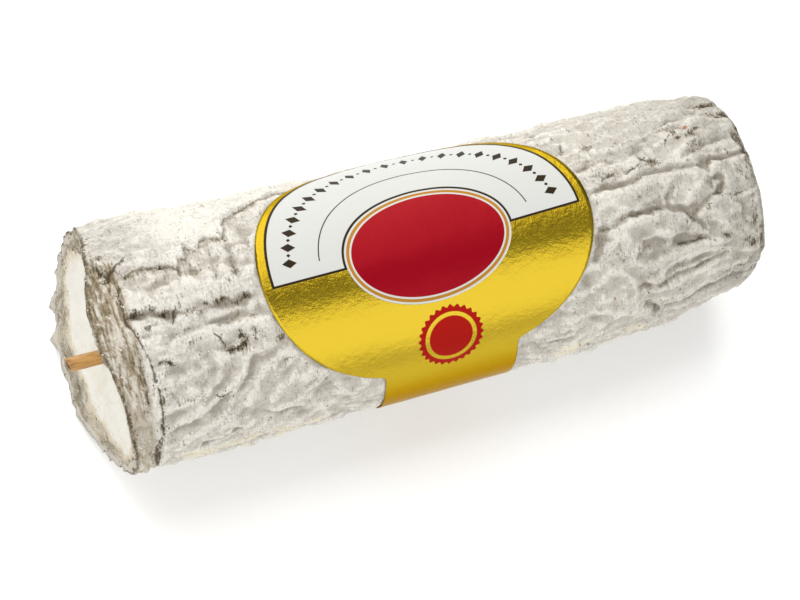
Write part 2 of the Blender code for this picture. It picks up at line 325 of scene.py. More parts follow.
BROAD_FOLDS = tuple(Fold(*row) for row in (
    (-0.7, 0.75, ((-56.8, -11), (-54, -11), (-50.3, -9), (-45, -7.5), (-38, -7.5), (-34, -8)), 0.22),
    (0.62, 1.25, ((-55, -15), (-50, -14.5), (-45, -14.5), (-41, -16.5), (-36, -16.5), (-31.5, -17))),
    (0.25, 0.7, ((-55, -13.2), (-50, -12.6), (-44, -12.4), (-38, -13), (-32, -12.5))),
    (-0.4, 0.7, ((-50, 1.5), (-47, 0.2), (-44, -0.2), (-38, 0.3), (-36, -1), (-33, 1.2), (-31, 1)), 0.2),
    (0.38, 1.1, ((-50, 4.5), (-46, 3.2), (-42, 2.6), (-38.5, 3.8), (-34, 4), (-31.5, 4.5))),
    (-0.25, 1.5, ((-55, -24), (-48, -24), (-42, -25), (-36, -26), (-32, -24))),
    (0.42, 0.75, ((-55, 34), (-52.5, 32.5), (-49, 32.2), (-45.5, 30))),
    (0.5, 0.8, ((-54, 44), (-50, 40), (-46, 36.5), (-42, 32.5), (-39.3, 28.5), (-37.6, 24), (-37, 20),
                     (-35.5, 16), (-31, 15.2))),
    (-0.35, 1.1, ((-53, 48), (-49, 44), (-44, 38), (-40, 34), (-37, 28), (-35.6, 22))),
    (0.4, 0.8, ((-36, 31), (-33, 25), (-30, 21), (-26.5, 19.5), (-24, 22))),
    (0.4, 0.9, ((-33, 44), (-31, 38), (-28, 33.5), (-25, 32), (-21, 34))),
    (0.35, 1.3, ((-53, 60), (-50, 52), (-46, 48), (-42, 46))),
    (-0.45, 0.55, ((-47.2, 65), (-46.6, 62.2), (-45, 61.3), (-42, 60), (-40.3, 57.5)), 0.25, 0.22),
    (0.4, 1.5, ((-47, 70), (-40, 66), (-33, 63), (-27, 66))),
    (-0.35, 1.4, ((-52, 74), (-46, 75), (-40, 72), (-34, 72), (-28, 74)), 0.15),
    (0.4, 1, ((-57, 2), (-56.2, 12), (-55.9, 24), (-56.2, 36), (-57, 46))),
    (-0.22, 0.8, ((-38.3, -37), (-37.7, -30), (-38.6, -24), (-38.2, -18)), 0.16),
    (-0.26, 0.9, ((-34.9, -44), (-33.8, -35), (-34.8, -27), (-34.3, -20)), 0.2),
    (-0.2, 0.8, ((-42.5, -36), (-42.8, -29), (-42.2, -21)), 0.25),
    (-0.22, 0.5, ((-47.8, -30), (-48.3, -24), (-48, -18.5)), 0.12),
    (0.25, 0.9, ((-36.4, -38), (-36.2, -30), (-36.8, -21))),
    (-0.2, 0.9, ((-31, -46), (-30.2, -36), (-31.4, -24)), 0.1),
    (0.3, 1.2, ((-53, 22), (-47, 21), (-42, 18), (-39, 16))),
    (-0.25, 1, ((-52, 16), (-47, 17), (-43, 13), (-40.5, 11.5))),
    (0.3, 0.9, ((-34.5, 9), (-31.5, 5), (-30, 1))),
    (0.28, 0.9, ((-49, 40), (-46.5, 44), (-43, 49), (-40, 55))),
    (-0.28, 1, ((-37, 44), (-35, 50), (-31.5, 55), (-27, 57))),
    (0.3, 1, ((-38, 40), (-36.5, 47), (-33, 51), (-28, 51))),
    (-0.5, 0.7, ((38.5, -17.5), (44, -16.7), (50, -16.5), (52.3, -18.6), (56, -18.6), (62, -17.6), (67, -16)), 0.2),
    (0.42, 1.5, ((41, -12.5), (46, -13), (50, -13.2), (55, -14.5), (58, -10.5))),
    (0.3, 1.2, ((51, -22), (54, -21), (60, -21), (65, -19.5))),
    (-0.55, 0.6, ((41, 2), (43, 2.5), (44.3, 0.8), (46, -0.2), (50, -0.1), (54, 0.3), (56, 0.8), (58, 3), (60, 5),
                      (60.6, 7.5), (62, 12), (63.6, 17)), 0.35, 0.15),
    (0.5, 1.2, ((43, 5.5), (47, 3.2), (51, 3), (55, 4.2), (58, 6.5), (59.8, 10), (61, 14))),
    (-0.45, 0.55, ((57.8, -8), (56.6, -4), (56.3, 0)), 0.35, 0.1),
    (-0.55, 0.55, ((61.9, 10.5), (63, 7), (65, 4.5), (67, 2.2), (69, 1), (70.1, -1.5), (70.6, -5), (70, -7.4),
                       (68.8, -7.8)), 0.3, 0.15),
    (0.5, 1, ((60.5, 3), (62.5, -2.5), (64.5, -5), (67, -9), (69, -11))),
    (-0.4, 0.55, ((68, -9.5), (68, -15), (69.6, -18), (72, -16.6), (75.5, -17), (78.5, -17.5)), 0.35, 0.12),
    (0.45, 0.9, ((36.2, 19.5), (38.3, 19.6), (40, 15.5), (41.2, 12), (43, 10.2), (45.5, 8.6))),
    (-0.65, 1.7, ((38.8, 16), (39.4, 11), (40.2, 6.5)), 0.35),
    (0.45, 0.7, ((45.6, 21.5), (47.6, 16.5), (50, 13.4), (53, 12.2), (56, 13.4), (58.6, 15.5))),
    (-0.5, 1.4, ((47.8, 19.8), (50.5, 17.2), (55, 17.6), (58, 19.5)), 0.12),
    (0.48, 0.75, ((46.4, 23.5), (49, 26), (51.2, 28), (53.2, 26.4), (56, 24.5), (58.5, 24.3), (62.5, 25.4),
                      (66, 27), (69, 28.6))),
    (-0.4, 1, ((51.8, 24), (54, 22), (57, 21), (62, 22.6)), 0.15),
    (0.36, 0.7, ((51.7, 37), (53.4, 31.6), (56.2, 29.4), (60.5, 29), (64, 30), (68, 33), (72, 37), (75, 43))),
    (-0.45, 1.2, ((54, 34.5), (58, 33), (62, 34)), 0.1),
    (-0.4, 0.6, ((48.5, 38.4), (50.3, 40), (53, 40.4), (57, 38.6), (60, 39), (63.5, 37.8), (68, 36.5)), 0.35, 0.12),
    (0.4, 0.5, ((46, 33), (46.6, 38), (46.5, 44), (46.2, 51))),
    (0.36, 0.7, ((40.5, 21), (42, 24.5), (44, 27.5), (45.5, 31))),
    (0.34, 1, ((36, 44), (40, 46), (43.6, 50), (47, 54), (50, 58))),
    (-0.5, 0.6, ((49.3, 49.5), (50.4, 53), (51.6, 56.5), (52.2, 60)), 0.4, 0.15),
    (-0.5, 0.7, ((51.8, 58.6), (54, 58), (56, 59.2), (59.5, 62), (62, 59.5), (67, 58.5), (70.5, 59), (74, 62)),
         0.3, 0.25),
    (0.35, 1, ((53, 50), (58, 53), (64, 52), (70, 53.5))),
    (0.3, 0.8, ((64, 45), (69, 45.5), (74, 49))),
    (-0.6, 1.1, ((72, -60), (77, -58.5), (80, -55)), 0.8),
    (0.4, 1, ((45, -38), (51, -37), (57, -41), (63, -44))),
    (0.42, 0.9, ((57, -31), (61, -35), (66, -41), (71, -47))),
    (-0.4, 0.6, ((56, -38), (58, -40), (61, -42), (66, -40.6)), 0.15),
    (-0.4, 0.7, ((62, -46), (66, -50.5), (71, -53)), 0.3),
    (0.35, 0.9, ((62, -25), (66, -30), (70, -33), (75, -34))),
    (-0.32, 0.6, ((66, -24), (70, -28), (75, -29)), 0.3),
    (0.35, 0.8, ((70, -44), (74, -41), (77, -40))),
    (-0.3, 0.6, ((40, -30), (44, -31.5), (49, -30), (54, -32)), 0.12),
    (0.32, 0.9, ((38, -26), (43, -27.5), (48, -26.5), (52, -28))),
    (-0.32, 0.6, ((72, 8), (74, 13), (73.5, 19), (75, 26)), 0.2),
    (0.32, 0.9, ((66, 14), (69, 18), (70, 23), (73, 28))),
))
CRACKS = tuple(Fold(*row) for row in (
    (-0.5, 0.45, ((-57.5, -26), (-58.2, -15), (-58, -8)), 1),
    (-0.3, 0.3, ((-58, -8), (-57.3, -2), (-56.4, 2), (-55.6, 10), (-55.4, 20), (-55.1, 30), (-55.3, 43)), 0.8),
    (-0.3, 0.3, ((-57, 4), (-57.6, 12), (-57.2, 22), (-57.7, 30)), 0.6),
    (-0.7, 0.45, ((-55.3, 43), (-55.6, 52), (-56.2, 60), (-56.4, 68), (-56.8, 80), (-57, 95)), 1),
    (-0.5, 0.35, ((-56, 47), (-57, 56), (-57.1, 66), (-56.8, 74)), 0.9),
    (-0.25, 0.35, ((-44.3, 32.6), (-43, 33.4), (-41.4, 33.2)), 0.6),
    (-0.2, 0.3, ((-53.6, 11.2), (-52.2, 11.8), (-51.5, 14)), 0.6),
    (-0.2, 0.3, ((-42, 5.6), (-41, 7.4), (-40.6, 10.2)), 0.9),
    (-0.3, 0.4, ((-40, 14), (-38.2, 14.3), (-37, 12.2), (-36, 10)), 1),
    (-0.2, 0.35, ((-33.9, 7), (-34.1, 11)), 1),
    (-0.2, 0.3, ((-49.3, -5.4), (-48.5, -10.6)), 1),
    (-0.25, 0.35, ((-38.3, -33), (-38.3, -25), (-38.8, -19)), 0.35),
    (-0.25, 0.35, ((-34.6, -42), (-34.3, -30), (-34.8, -20)), 0.45),
    (-0.2, 0.35, ((-60.2, -39), (-59.6, -35), (-58.9, -31), (-58.3, -35.4), (-57, -36.4), (-55.2, -38.4)), 0.85),
    (-0.15, 0.35, ((-29.4, 14.6), (-28, 12)), 0.6),
    (-0.2, 0.35, ((43.6, 10.5), (44.3, 15)), 0.55),
    (-0.25, 0.35, ((68.2, 1.6), (70, 4), (73, 5.6), (76, 4.6), (78, 4)), 0.55),
    (-0.2, 0.35, ((74.6, -7), (75.9, -4), (75.5, -0.6)), 0.55),
    (-0.3, 0.4, ((49.8, -22), (51.4, -22.6), (52.6, -23.4)), 0.6),
    (-0.25, 0.4, ((53.6, -28.4), (55.2, -26), (57.3, -23.4)), 0.6),
    (-0.2, 0.35, ((44.2, -21.6), (46.6, -22.6)), 0.6),
    (-0.2, 0.35, ((38.7, -43), (39.6, -49)), 0.55),
    (-0.25, 0.4, ((62, -46.4), (65, -50)), 0.5),
    (-0.25, 0.4, ((66, -34.6), (67.4, -36.8), (69.6, -39)), 0.6),
    (-0.2, 0.35, ((57.6, 22), (60, 22.8), (63, 23)), 0.75),
    (-0.2, 0.35, ((70, -48), (75, -46)), 0.4),
    (-0.2, 0.35, ((59.8, -9.5), (59.7, -5)), 0.45),
    (-0.2, 0.35, ((45, -35), (50, -34.2), (54, -36)), 0.2),
    (-0.2, 0.35, ((60, -33), (63, -37.6), (64.2, -39)), 0.55),
))


@dataclass(frozen=True)
class Stain:
    """A dark or coloured fleck of mould, placed on the shown side as a fold is."""

    x: float
    angle: float
    long: float
    wide: float
    depth: float = 1.0


DARK_STAINS = tuple(Stain(*row) for row in (
    (-59.5, -43.5, 0.55, 0.5, 0.8), (-59.8, -37.5, 0.5, 0.8, 0.9), (-59.5, -30.5, 0.9, 0.35, 0.9),
    (-56, -11.6, 0.7, 0.6), (-54.4, -11.9, 0.7, 0.4, 0.8), (-52.8, -11.8, 0.5, 0.45, 0.75),
    (-50.7, -9.3, 0.9, 0.5, 0.8), (-47.3, -10.4, 0.3, 0.5, 0.8), (-45.4, -7.2, 1.5, 0.5, 0.55),
    (-42.3, -9.5, 0.5, 0.3), (-39.2, -9.3, 1.2, 0.3, 0.8), (-36.2, -7.2, 1.2, 0.45, 0.75), (-34.2, -8.5, 0.9, 0.45),
    (-54.5, -4.6, 0.5, 0.3, 0.8), (-47, 6, 0.7, 0.35, 0.55), (-51.5, 13.4, 0.35, 0.6, 0.9), (-36.9, 8.4, 0.5, 0.5),
    (-38.6, 14, 1.3, 0.5, 0.85), (-37, 12.2, 0.5, 0.8), (-30.6, 14.3, 0.35, 0.5, 0.7), (-28.6, 13.4, 1, 0.6, 0.7),
    (-58.3, 33, 0.5, 0.35, 0.6), (-55, 28.6, 0.5, 0.7, 0.8), (-57.5, 64, 0.5, 0.9, 0.6), (-45.4, 61, 0.8, 0.3, 0.6),
    (-33.6, 57, 0.4, 0.35, 0.6), (-51.4, 30.5, 0.9, 0.3, 0.4), (-48.2, 30.6, 0.7, 0.3, 0.4),
    (-52.2, -29.6, 0.4, 0.6, 0.5), (-48.9, -31, 0.8, 0.4, 0.8), (-55.3, -30.6, 0.9, 0.3, 0.7),
    (-45.1, -27.5, 0.35, 0.8, 0.8), (-41.3, -25.3, 0.5, 0.5, 0.5), (-35, -20.3, 0.35, 0.35, 0.8),
    (-43.2, -25, 0.9, 0.8, 0.45), (38.3, -54.6, 0.4, 0.4, 0.7), (47.7, -54.6, 0.5, 0.4, 0.6),
    (44.1, -41.6, 0.8, 0.6, 0.8), (50.7, -41.2, 0.4, 0.4, 0.5), (52.3, -38.4, 0.7, 0.3, 0.5),
    (46.2, -22.4, 0.7, 0.3, 0.9), (56, -24.6, 0.9, 0.7), (54, -27.6, 0.5, 0.4, 0.8), (63.3, -38.2, 0.5, 0.7, 0.8),
    (64, -34.6, 0.8, 0.4, 0.8), (67.4, -36.2, 0.9, 0.8, 0.9), (69.2, -38.8, 0.7, 0.4, 0.8),
    (60.5, -33.6, 0.6, 0.5, 0.5), (66.5, -28.4, 0.8, 0.4, 0.7), (68.6, -27.2, 0.6, 0.7, 0.6),
    (72.6, -21.6, 0.9, 0.6, 0.45), (50.5, -8.5, 0.35, 0.4, 0.7), (63, 0.8, 0.35, 0.6, 0.6),
    (67.3, -5.2, 0.8, 0.5, 0.5), (53, 7, 0.35, 0.3, 0.7), (68.6, 25.6, 0.6, 0.5, 0.9), (62, 38.4, 0.8, 0.3, 0.6),
    (74.4, 34.6, 1.3, 0.7, 0.7), (75.8, 37.6, 0.8, 0.9, 0.8), (73.6, 50.6, 1.8, 0.6, 0.7),
    (69.2, 50.4, 0.9, 0.4, 0.6), (78, 53.4, 0.4, 0.5, 0.8), (43.7, 20, 0.35, 0.3, 0.7), (40.4, 7.8, 0.4, 0.6, 0.55),
    (75.2, -58.6, 2.4, 1), (78.9, -62.6, 1, 0.9), (77.2, -45.4, 1.6, 0.8), (75.4, -43, 0.8, 0.5, 0.8),
    (79.2, -50, 0.5, 3, 0.9), (77, -29, 0.6, 1.4), (78, -20, 0.6, 2.2), (77.6, -10.5, 0.8, 1.4, 0.7),
    (76.2, 14, 0.35, 1.6, 0.6), (76.5, 22, 0.6, 1.5, 0.9), (77.9, 0, 0.5, 2, 0.7), (78, 38, 0.45, 4, 0.8),
    (78.4, -36, 0.5, 1.6, 0.8),
))
CREAM_STAINS = tuple(Stain(*row) for row in (
    (-47.8, 73.5, 3.6, 2), (-41, 76, 3, 1.6, 0.8), (-33, 72.5, 5, 1.6),
    (-24, 74, 4, 1.5, 0.8), (33, 70, 4.5, 2.2, 0.9), (47, 70, 3.5, 2, 0.7),
))
RUST_STAINS = tuple(Stain(*row) for row in (
    (66.9, -40.5, 0.36, 0.4), (41.5, 39.5, 0.26, 0.34), (53.8, -56, 0.3, 0.26, 0.8),
))


@dataclass
class RindRelief:
    """The relief of the rind, and the masks that say where its mould colours and its painted shade lie."""

    form: LogForm
    label: LabelForm
    grain: GrainNoise
    swell_height: float = 0.55
    swell_size: float = 15.0
    lump_height: float = 0.35
    lump_size: float = 6.0
    seed: float = 11.3
    top: float = 1.3
    bottom: float = -1.7
    cap_edge: Stations = (
        (-62, -46), (-60.9, -41), (-60.2, -38.5), (-59.5, -34.5), (-58.9, -31), (-58.3, -35.5),
        (-57, -36.3), (-56.4, -31.2), (-55, -32), (-53, -33), (-50, -33), (-49, -32),
        (-47, -31), (-45.3, -29.3), (-44.9, -32.5), (-43, -33), (-42.6, -41), (-41.5, -36.5),
        (-40.2, -35), (-39.6, -41), (-38, -42), (-36.5, -40), (-35, -40), (-34, -42.5),
        (-33.3, -52), (-31, -54), (-29, -57), (-25, -62), (-20, -70),
    )
    cap_height: float = 0.72
    band_end: float = -61.5
    leans: tuple[float, ...] = (0.0, -38.0, -16.0, 22.0)
    fold_gain: float = 2.1
    crest: float = 0.35
    above_share: float = 0.42
    below_share: float = 1.7
    ease: float = 0.2
    hollow_depth: float = 0.30
    lip_depth: float = 0.20
    band_depth: float = 0.32
    string_height: float = 0.36
    grain_height: float = 0.11
    ripple_height: float = 0.36
    cream_height: float = 0.5
    stain_depth: float = 0.16
    pit_depth: float = 0.10
    tooth_height: float = 0.24
    label_ripple: float = 0.06
    label_limit: float = 0.12

    def distance(self, x: np.ndarray, angle: np.ndarray, path: Iterable[tuple[float, float]]) -> np.ndarray:
        """The distance along the skin to a path of the shown side.

        Args:
            x: Places along the log.
            angle: Angles round it.
            path: The path's places and angles.

        Returns:
            The distance in mm for each place, with the sign of the path's side.
        """
        across = np.radians(angle) * self.form.skin_radius
        corners = [(px + SHOWN_X, math.radians(pa + SHOWN_ANGLE) * self.form.skin_radius) for px, pa in path]
        nearest = np.full(x.shape, 1.0e6)
        for (x0, y0), (x1, y1) in zip(corners[:-1], corners[1:]):
            dx, dy = x1 - x0, y1 - y0
            along = unit(((x - x0) * dx + (across - y0) * dy) / (dx * dx + dy * dy))
            gap_x, gap_y = x - x0 - along * dx, across - y0 - along * dy
            gap = np.copysign(np.hypot(gap_x, gap_y), dx * gap_y - dy * gap_x)
            nearest = np.where(np.abs(gap) < np.abs(nearest), gap, nearest)
        return nearest

    def room(self, angle: np.ndarray, base: np.ndarray) -> np.ndarray:
        """How far the rind may rise before it leaves the box of the plain solids.

        Args:
            angle: Angles round the log.
            base: The plain skin's points there, in mm.

        Returns:
            The room in mm for each place.
        """
        low, high = (np.array(corner) / MM + ORIGIN for corner in CAD_BOX)
        sine, cosine = np.sin(np.radians(angle)), np.cos(np.radians(angle))
        over = (high[2] - base[:, 2]) / np.maximum(cosine, 0.05)
        front = (base[:, 1] - low[1]) / np.maximum(sine, 0.05)
        back = (high[1] - base[:, 1]) / np.maximum(-sine, 0.05)
        return np.minimum(np.minimum(over, front), np.minimum(back, 5.0)) - 0.02

    def broad(self, points: np.ndarray) -> np.ndarray:
        """The swells and lumps that the solid has too."""
        height = np.empty(len(points))
        for k, point in enumerate(points):
            place = Vector(point)
            swell = noise.noise(place / self.swell_size + Vector((self.seed, -self.seed, 0.5 * self.seed)))
            lump = noise.noise(place / self.lump_size + Vector((2 * self.seed, -2 * self.seed, self.seed)))
            height[k] = self.swell_height * swell + self.lump_height * lump
        return height

    def spots(self, x: np.ndarray, angle: np.ndarray, stains: Iterable[Stain], fray: np.ndarray) -> np.ndarray:
        """How strongly flecks cover each place.

        Args:
            x: Places along the log.
            angle: Angles round it.
            stains: The flecks.
            fray: Noise that breaks up their edges.

        Returns:
            Cover between 0 and 1, with a wide soft edge that the finish cuts.
        """
        cover = np.zeros(x.shape)
        for stain in stains:
            across = np.radians(wrap(angle - stain.angle - SHOWN_ANGLE)) * self.form.skin_radius
            reach = np.hypot((x - stain.x - SHOWN_X) / stain.long, across / stain.wide)
            cover = np.maximum(cover, stain.depth * unit(1.25 - 0.5 * reach - 0.28 * fray))
        return cover

    def grained(self, x: np.ndarray, angle: np.ndarray, base: np.ndarray, long: float, wide: float,
                count: int, seed: float) -> np.ndarray:
        """Noise drawn out along the rind's grain, which leans in some regions.

        Args:
            x: Places along the log.
            angle: Angles round it.
            base: The plain skin's points there.
            long: The lumps' length along the grain in mm.
            wide: Their width across it.
            count: How many sizes are summed.
            seed: Picks one of many such patterns.

        Returns:
            One value for each place, between about -1 and 1.
        """
        sway = 1.3 * self.grain.layers(base + 5.0 + seed, 5.0, 2)
        x, arc = x + sway, np.radians(angle) * self.form.skin_radius - sway
        low_left = drop(-34.0, -20.0, x) * step(24.0, 44.0, angle)
        high_right = step(30.0, 50.0, x) * drop(-18.0, 4.0, angle)
        low_right = step(30.0, 50.0, x) * step(34.0, 60.0, angle)
        total = np.zeros(x.shape)
        shares = (1.0 - low_left - high_right - low_right, low_left, high_right, low_right)
        for lean, share in zip(self.leans, shares):
            cosine, sine = math.cos(math.radians(lean)), math.sin(math.radians(lean))
            along, over = x * cosine + arc * sine, arc * cosine - x * sine
            spot = np.column_stack((along / long, over / wide, np.full(x.shape, seed + 0.5)))
            total += share * self.grain.layers(spot, 1.0, count)
        return total * drop(150.0, 176.0, np.abs(angle))

    def wrinkles(self, x: np.ndarray, angle: np.ndarray, base: np.ndarray) -> tuple[np.ndarray, np.ndarray]:
        """Soft pleats and fine wrinkles that follow the rind's grain.

        Args:
            x: Places along the log.
            angle: Angles round it.
            base: The plain skin's points there.

        Returns:
            Their height in mm, and how deep in a wrinkle each place is.
        """
        pleat = self.grained(x, angle, base, 8.0, 3.2, 2, 3.0)
        crest = self.grained(x, angle, base, 11.0, 4.5, 2, 8.0)
        amount = step(-0.1, 0.4, self.grain.layers(base + 130.0, 8.0, 2))
        lift = 0.60 * pleat + 0.50 * amount * np.exp(-((crest / 0.12) ** 2))
        fine = self.grained(x, angle, base, 3.2, 1.1, 2, 14.0)
        line = self.grained(x, angle, base, 5.5, 2.2, 2, 20.0)
        rich = step(-0.05, 0.5, self.grain.layers(base + 160.0, 6.5, 2))
        furrow = np.exp(-((line / 0.07) ** 2)) * rich
        return lift + 0.14 * fine - 0.13 * furrow, furrow

    def build(self, x: np.ndarray, angle: np.ndarray, base: np.ndarray) -> tuple[np.ndarray, dict[str, np.ndarray]]:
        """The relief and its colour masks.

        Args:
            x: Places along the log.
            angle: Angles round it.
            base: The plain skin's points at those places, in mm.

        Returns:
            The heights in mm, and the masks by name: shares from 0 to 1, and side and edge in mm.
        """
        angle = wrap(angle)
        grain = self.grain
        rim_x = self.form.left_rim_x - self.form.outstand(angle)
        from_rim = x - rim_x
        warp = 0.42 * grain.layers(base + 40.0, 2.4, 3)
        turn_warp = np.degrees(0.42 * grain.layers(base - 60.0, 2.2, 3) / self.form.skin_radius)
        warped_x, warped_angle = x + warp, angle + turn_warp
        height = self.broad(base)
        dirt = grain.layers(base + 260.0, 2.6, 2)
        uneven = np.clip(0.95 + 1.0 * grain.layers(base + 1300.0, 5.5, 2), 0.45, 1.5)
        right = step(30.0, 50.0, x)

        edge = table(self.cap_edge, warped_x - SHOWN_X) + SHOWN_ANGLE
        above = np.radians(edge - angle - turn_warp) * self.form.skin_radius
        rear = step(45.0, 75.0, -angle)
        near_end = drop(-30.0, -23.0 + 14.0 * rear, x + 14.0 * rear * grain.layers(base + 1500.0, 9.0, 2))
        behind = step(-125.0, -95.0, angle)
        cap = step(-0.22, 0.30, above) * behind * near_end
        shade = step(-4.5, -0.2, above) * near_end * behind
        hollow = shade * drop(-0.22, 0.30, above)
        lip = np.exp(-(((above + 0.25) / 0.45) ** 2)) * near_end * behind
        height += (self.cap_height * cap * (0.1 + 0.9 * np.exp(-above / 6.0))
                   - self.hollow_depth * hollow - self.lip_depth * lip)

        band = drop(self.band_end - 2.2, self.band_end - 0.4, x + 0.7 * warp) * step(-30.0, -22.0, angle)
        band *= drop(100.0, 120.0, angle)
        strings = grain.layers(base, (0.62, 6.0, 6.0), 3)
        height += band * (-self.band_depth + self.string_height * strings)

        dark, crease = np.zeros(x.shape), np.zeros(x.shape)
        for fold in BROAD_FOLDS:
            gap = self.distance(warped_x, warped_angle, fold.path)
            reach = np.abs(gap) / fold.half_width
            shoulder = fold.shoulder * np.exp(-(((reach - 2.0) / 0.9) ** 2))
            profile = np.exp(self.crest - np.sqrt(reach**2 + self.crest**2))
            if fold.height < 0.0:
                tilted = reach * np.where(gap < 0.0, self.above_share, self.below_share)
                overlap = np.exp(self.crest - np.sqrt(tilted**2 + self.crest**2))
                profile = uneven * (profile + right * (overlap - profile))
            height += self.fold_gain * (fold.height * profile + shoulder)
            # Every crease's bottom is darkened: brown staining together with painted shade.
            line = np.exp(-((gap / (0.42 - 0.10 * right)) ** 2)) * unit(uneven + 0.1)
            crease = np.maximum(crease, min(1.0, 1.9 * fold.stain + 0.2 * (fold.height < 0.0)) * line)
            stain_and_shade = 0.72 * fold.stain * unit(1.2 - reach)
            dark = np.maximum(dark, stain_and_shade * np.clip(0.9 + 1.3 * dirt, 0.0, 1.3))
        side, trace = np.full(x.shape, 3.0), np.zeros(x.shape)
        for fold in CRACKS:
            gap = self.distance(warped_x, warped_angle, fold.path)
            reach = np.abs(gap) / fold.half_width
            height += fold.height * np.exp(-(reach**2))
            nearer = np.abs(gap) < np.abs(side)
            side = np.where(nearer, gap, side)
            present = fold.stain * drop(0.5, 1.1, np.abs(gap))
            trace = np.where(nearer, present, trace)
            dark = np.maximum(dark, 0.55 * fold.stain * unit(1.3 - 0.8 * reach))

        pleats, furrow = self.wrinkles(x, angle, base)
        quiet = 1.0 - 0.45 * cap
        height += quiet * (1.0 - 0.8 * band) * (1.0 - 0.45 * right) * pleats
        fine = grain.layers(base + 300.0, 1.7, 3)
        ripple = grain.layers(base + 500.0, 4.4, 2)
        height += self.grain_height * fine + self.ripple_height * quiet * (1.0 - 0.5 * right) * ripple
        low = step(70.0, 92.0, angle) * drop(160.0, 190.0, angle)
        high = step(46.0, 66.0, -angle) * drop(140.0, 165.0, -angle)
        crumbs = grain.layers(base + 420.0, (3.4, 2.4, 2.4), 3)
        height += (0.55 * low + 0.30 * high) * (1.2 * np.abs(crumbs) + 0.3 * crumbs - 0.2)
        height += (0.85 * low + 0.60 * high) * grain.layers(base + 1700.0, (9.0, 5.0, 5.0), 2)
        cream = self.spots(warped_x, warped_angle, CREAM_STAINS, 0.5 * grain.layers(base + 700.0, 0.9, 2))
        height += self.cream_height * step(0.3, 0.8, cream)

        flecks = grain.layers(base + 800.0, 1.15, 2)
        patch = grain.layers(base + 950.0, 9.0, 2)
        pits = step(0.74, 0.92, flecks + 0.35 * patch) * quiet
        fray = grain.layers(base + 700.0, 0.9, 2)
        stains = self.spots(warped_x, warped_angle, DARK_STAINS, fray)
        to_end = self.form.right_rim_x - x + 1.2 * warp
        darker_part = step(-0.15, 0.45, grain.layers(base + 1100.0, 2.0, 3))
        upper = step(-100.0, -75.0, angle) * drop(-14.0, 2.0, angle)
        share = upper + (1.0 - upper) * (0.35 + 0.4 * step(36.0, 46.0, angle))
        end_dirt = drop(0.6, 4.2, to_end) * darker_part * share
        dark = np.maximum(np.maximum(dark, stains), np.maximum(0.6 * pits, 0.85 * end_dirt))
        height -= self.stain_depth * step(0.4, 0.9, stains) + self.pit_depth * pits

        rim = unit(1.15 - np.abs(from_rim - 0.2) / 0.9)
        crust = drop(1.2, 2.6, from_rim + warp) * step(-36.0, -26.0, angle) * drop(0.0, 14.0, angle)
        rim_teeth = step(-0.25, 0.35, grain.layers(base + 620.0, (2.0, 1.1, 1.1), 2))
        height += self.tooth_height * np.exp(-((from_rim / 1.0) ** 2)) * (2.0 * rim_teeth - 0.9)

        outside = self.label.outside(x, angle)
        height = np.clip(height, self.bottom, self.top)
        room = self.room(angle, base)
        height = room - self.ease * np.logaddexp(0.0, (room - height) / self.ease)
        free = step(-0.4, 1.7, outside)
        height = height * free + (1.0 - free) * (self.label_ripple * fine)
        height = np.where(outside < 0.4, np.minimum(height, self.label_limit), height)

        bare = step(-0.6, 0.4, outside)
        spare = bare * step(0.40, 0.60, room - height) * step(2.5, 4.0, base[:, 2])
        spare *= drop(72.6, 73.2, x)
        lower = step(76.0, 96.0, angle + 6.0 * patch) * drop(150.0, 200.0, angle)
        streaks = unit(0.5 - 1.5 * strings + 0.5 * fray)
        masks = {
            "dark": unit(dark) * bare,
            "side": side,
            "trace": trace * bare,
            # Brown: the band's streaks, the rim's crust, and the hollow under the cap's lip, where it is partly the
            # rind's tint and partly painted shade.
            "brown": unit(band * streaks * (1.0 - 0.75 * step(34.0, 50.0, angle)) + 0.45 * hollow * streaks
                          + 0.8 * crust * unit(0.8 + fray)),
            "band": band,
            # The hollow under the cap's lip, which the finish partly darkens as painted shade.
            "under": hollow,
            "crease": unit(crease * (0.75 + 0.8 * dirt)) * bare,
            "edge": np.clip(above, -4.0, 4.0),
            "edge_zone": near_end * behind,
            "fluff": unit(band * (1.7 * strings - 0.1)),
            "furrow": quiet * furrow * (0.5 + 0.5 * right),
            "crumb": spare * unit(
                0.03 + 0.7 * lip + 0.8 * band * step(0.0, 0.4, strings) + 0.5 * low + 0.5 * end_dirt
                + 0.35 * rim * step(0.0, 0.4, fray)),
            "speck": spare * unit(
                step(0.35, 0.8, dark) + 0.8 * rim + 0.6 * trace),
            "cream": np.maximum(cream, 0.7 * lower * step(0.1, 0.5, patch)),
            "rust": self.spots(x, angle, RUST_STAINS, 0.4 * fray),
            "rim": rim,
            # Greyer and darker over the small end, the cap's left and the band's lower part.
            "chill": np.maximum.reduce((
                0.35 * right + 0.65 * step(58.0, 70.0, x), 0.7 * cap * drop(-60.0, -48.0, x),
                0.9 * band * step(34.0, 50.0, angle))),
        }
        return height, masks


def grid_faces(rings: int, count: int, closed: bool) -> np.ndarray:
    """Quads between neighbouring rings of points.

    Args:
        rings: How many rings there are.
        count: How many points each ring has.
        closed: Whether the last ring joins the first.

    Returns:
        Rows of four point numbers.
    """
    ring = np.arange(rings if closed else rings - 1)[:, None]
    sector = np.arange(count)[None, :]
    lower, upper = ring * count, ((ring + 1) % rings) * count
    after = (sector + 1) % count
    quads = np.stack(np.broadcast_arrays(lower + sector, lower + after, upper + after, upper + sector), -1)
    return quads.reshape(-1, 4)


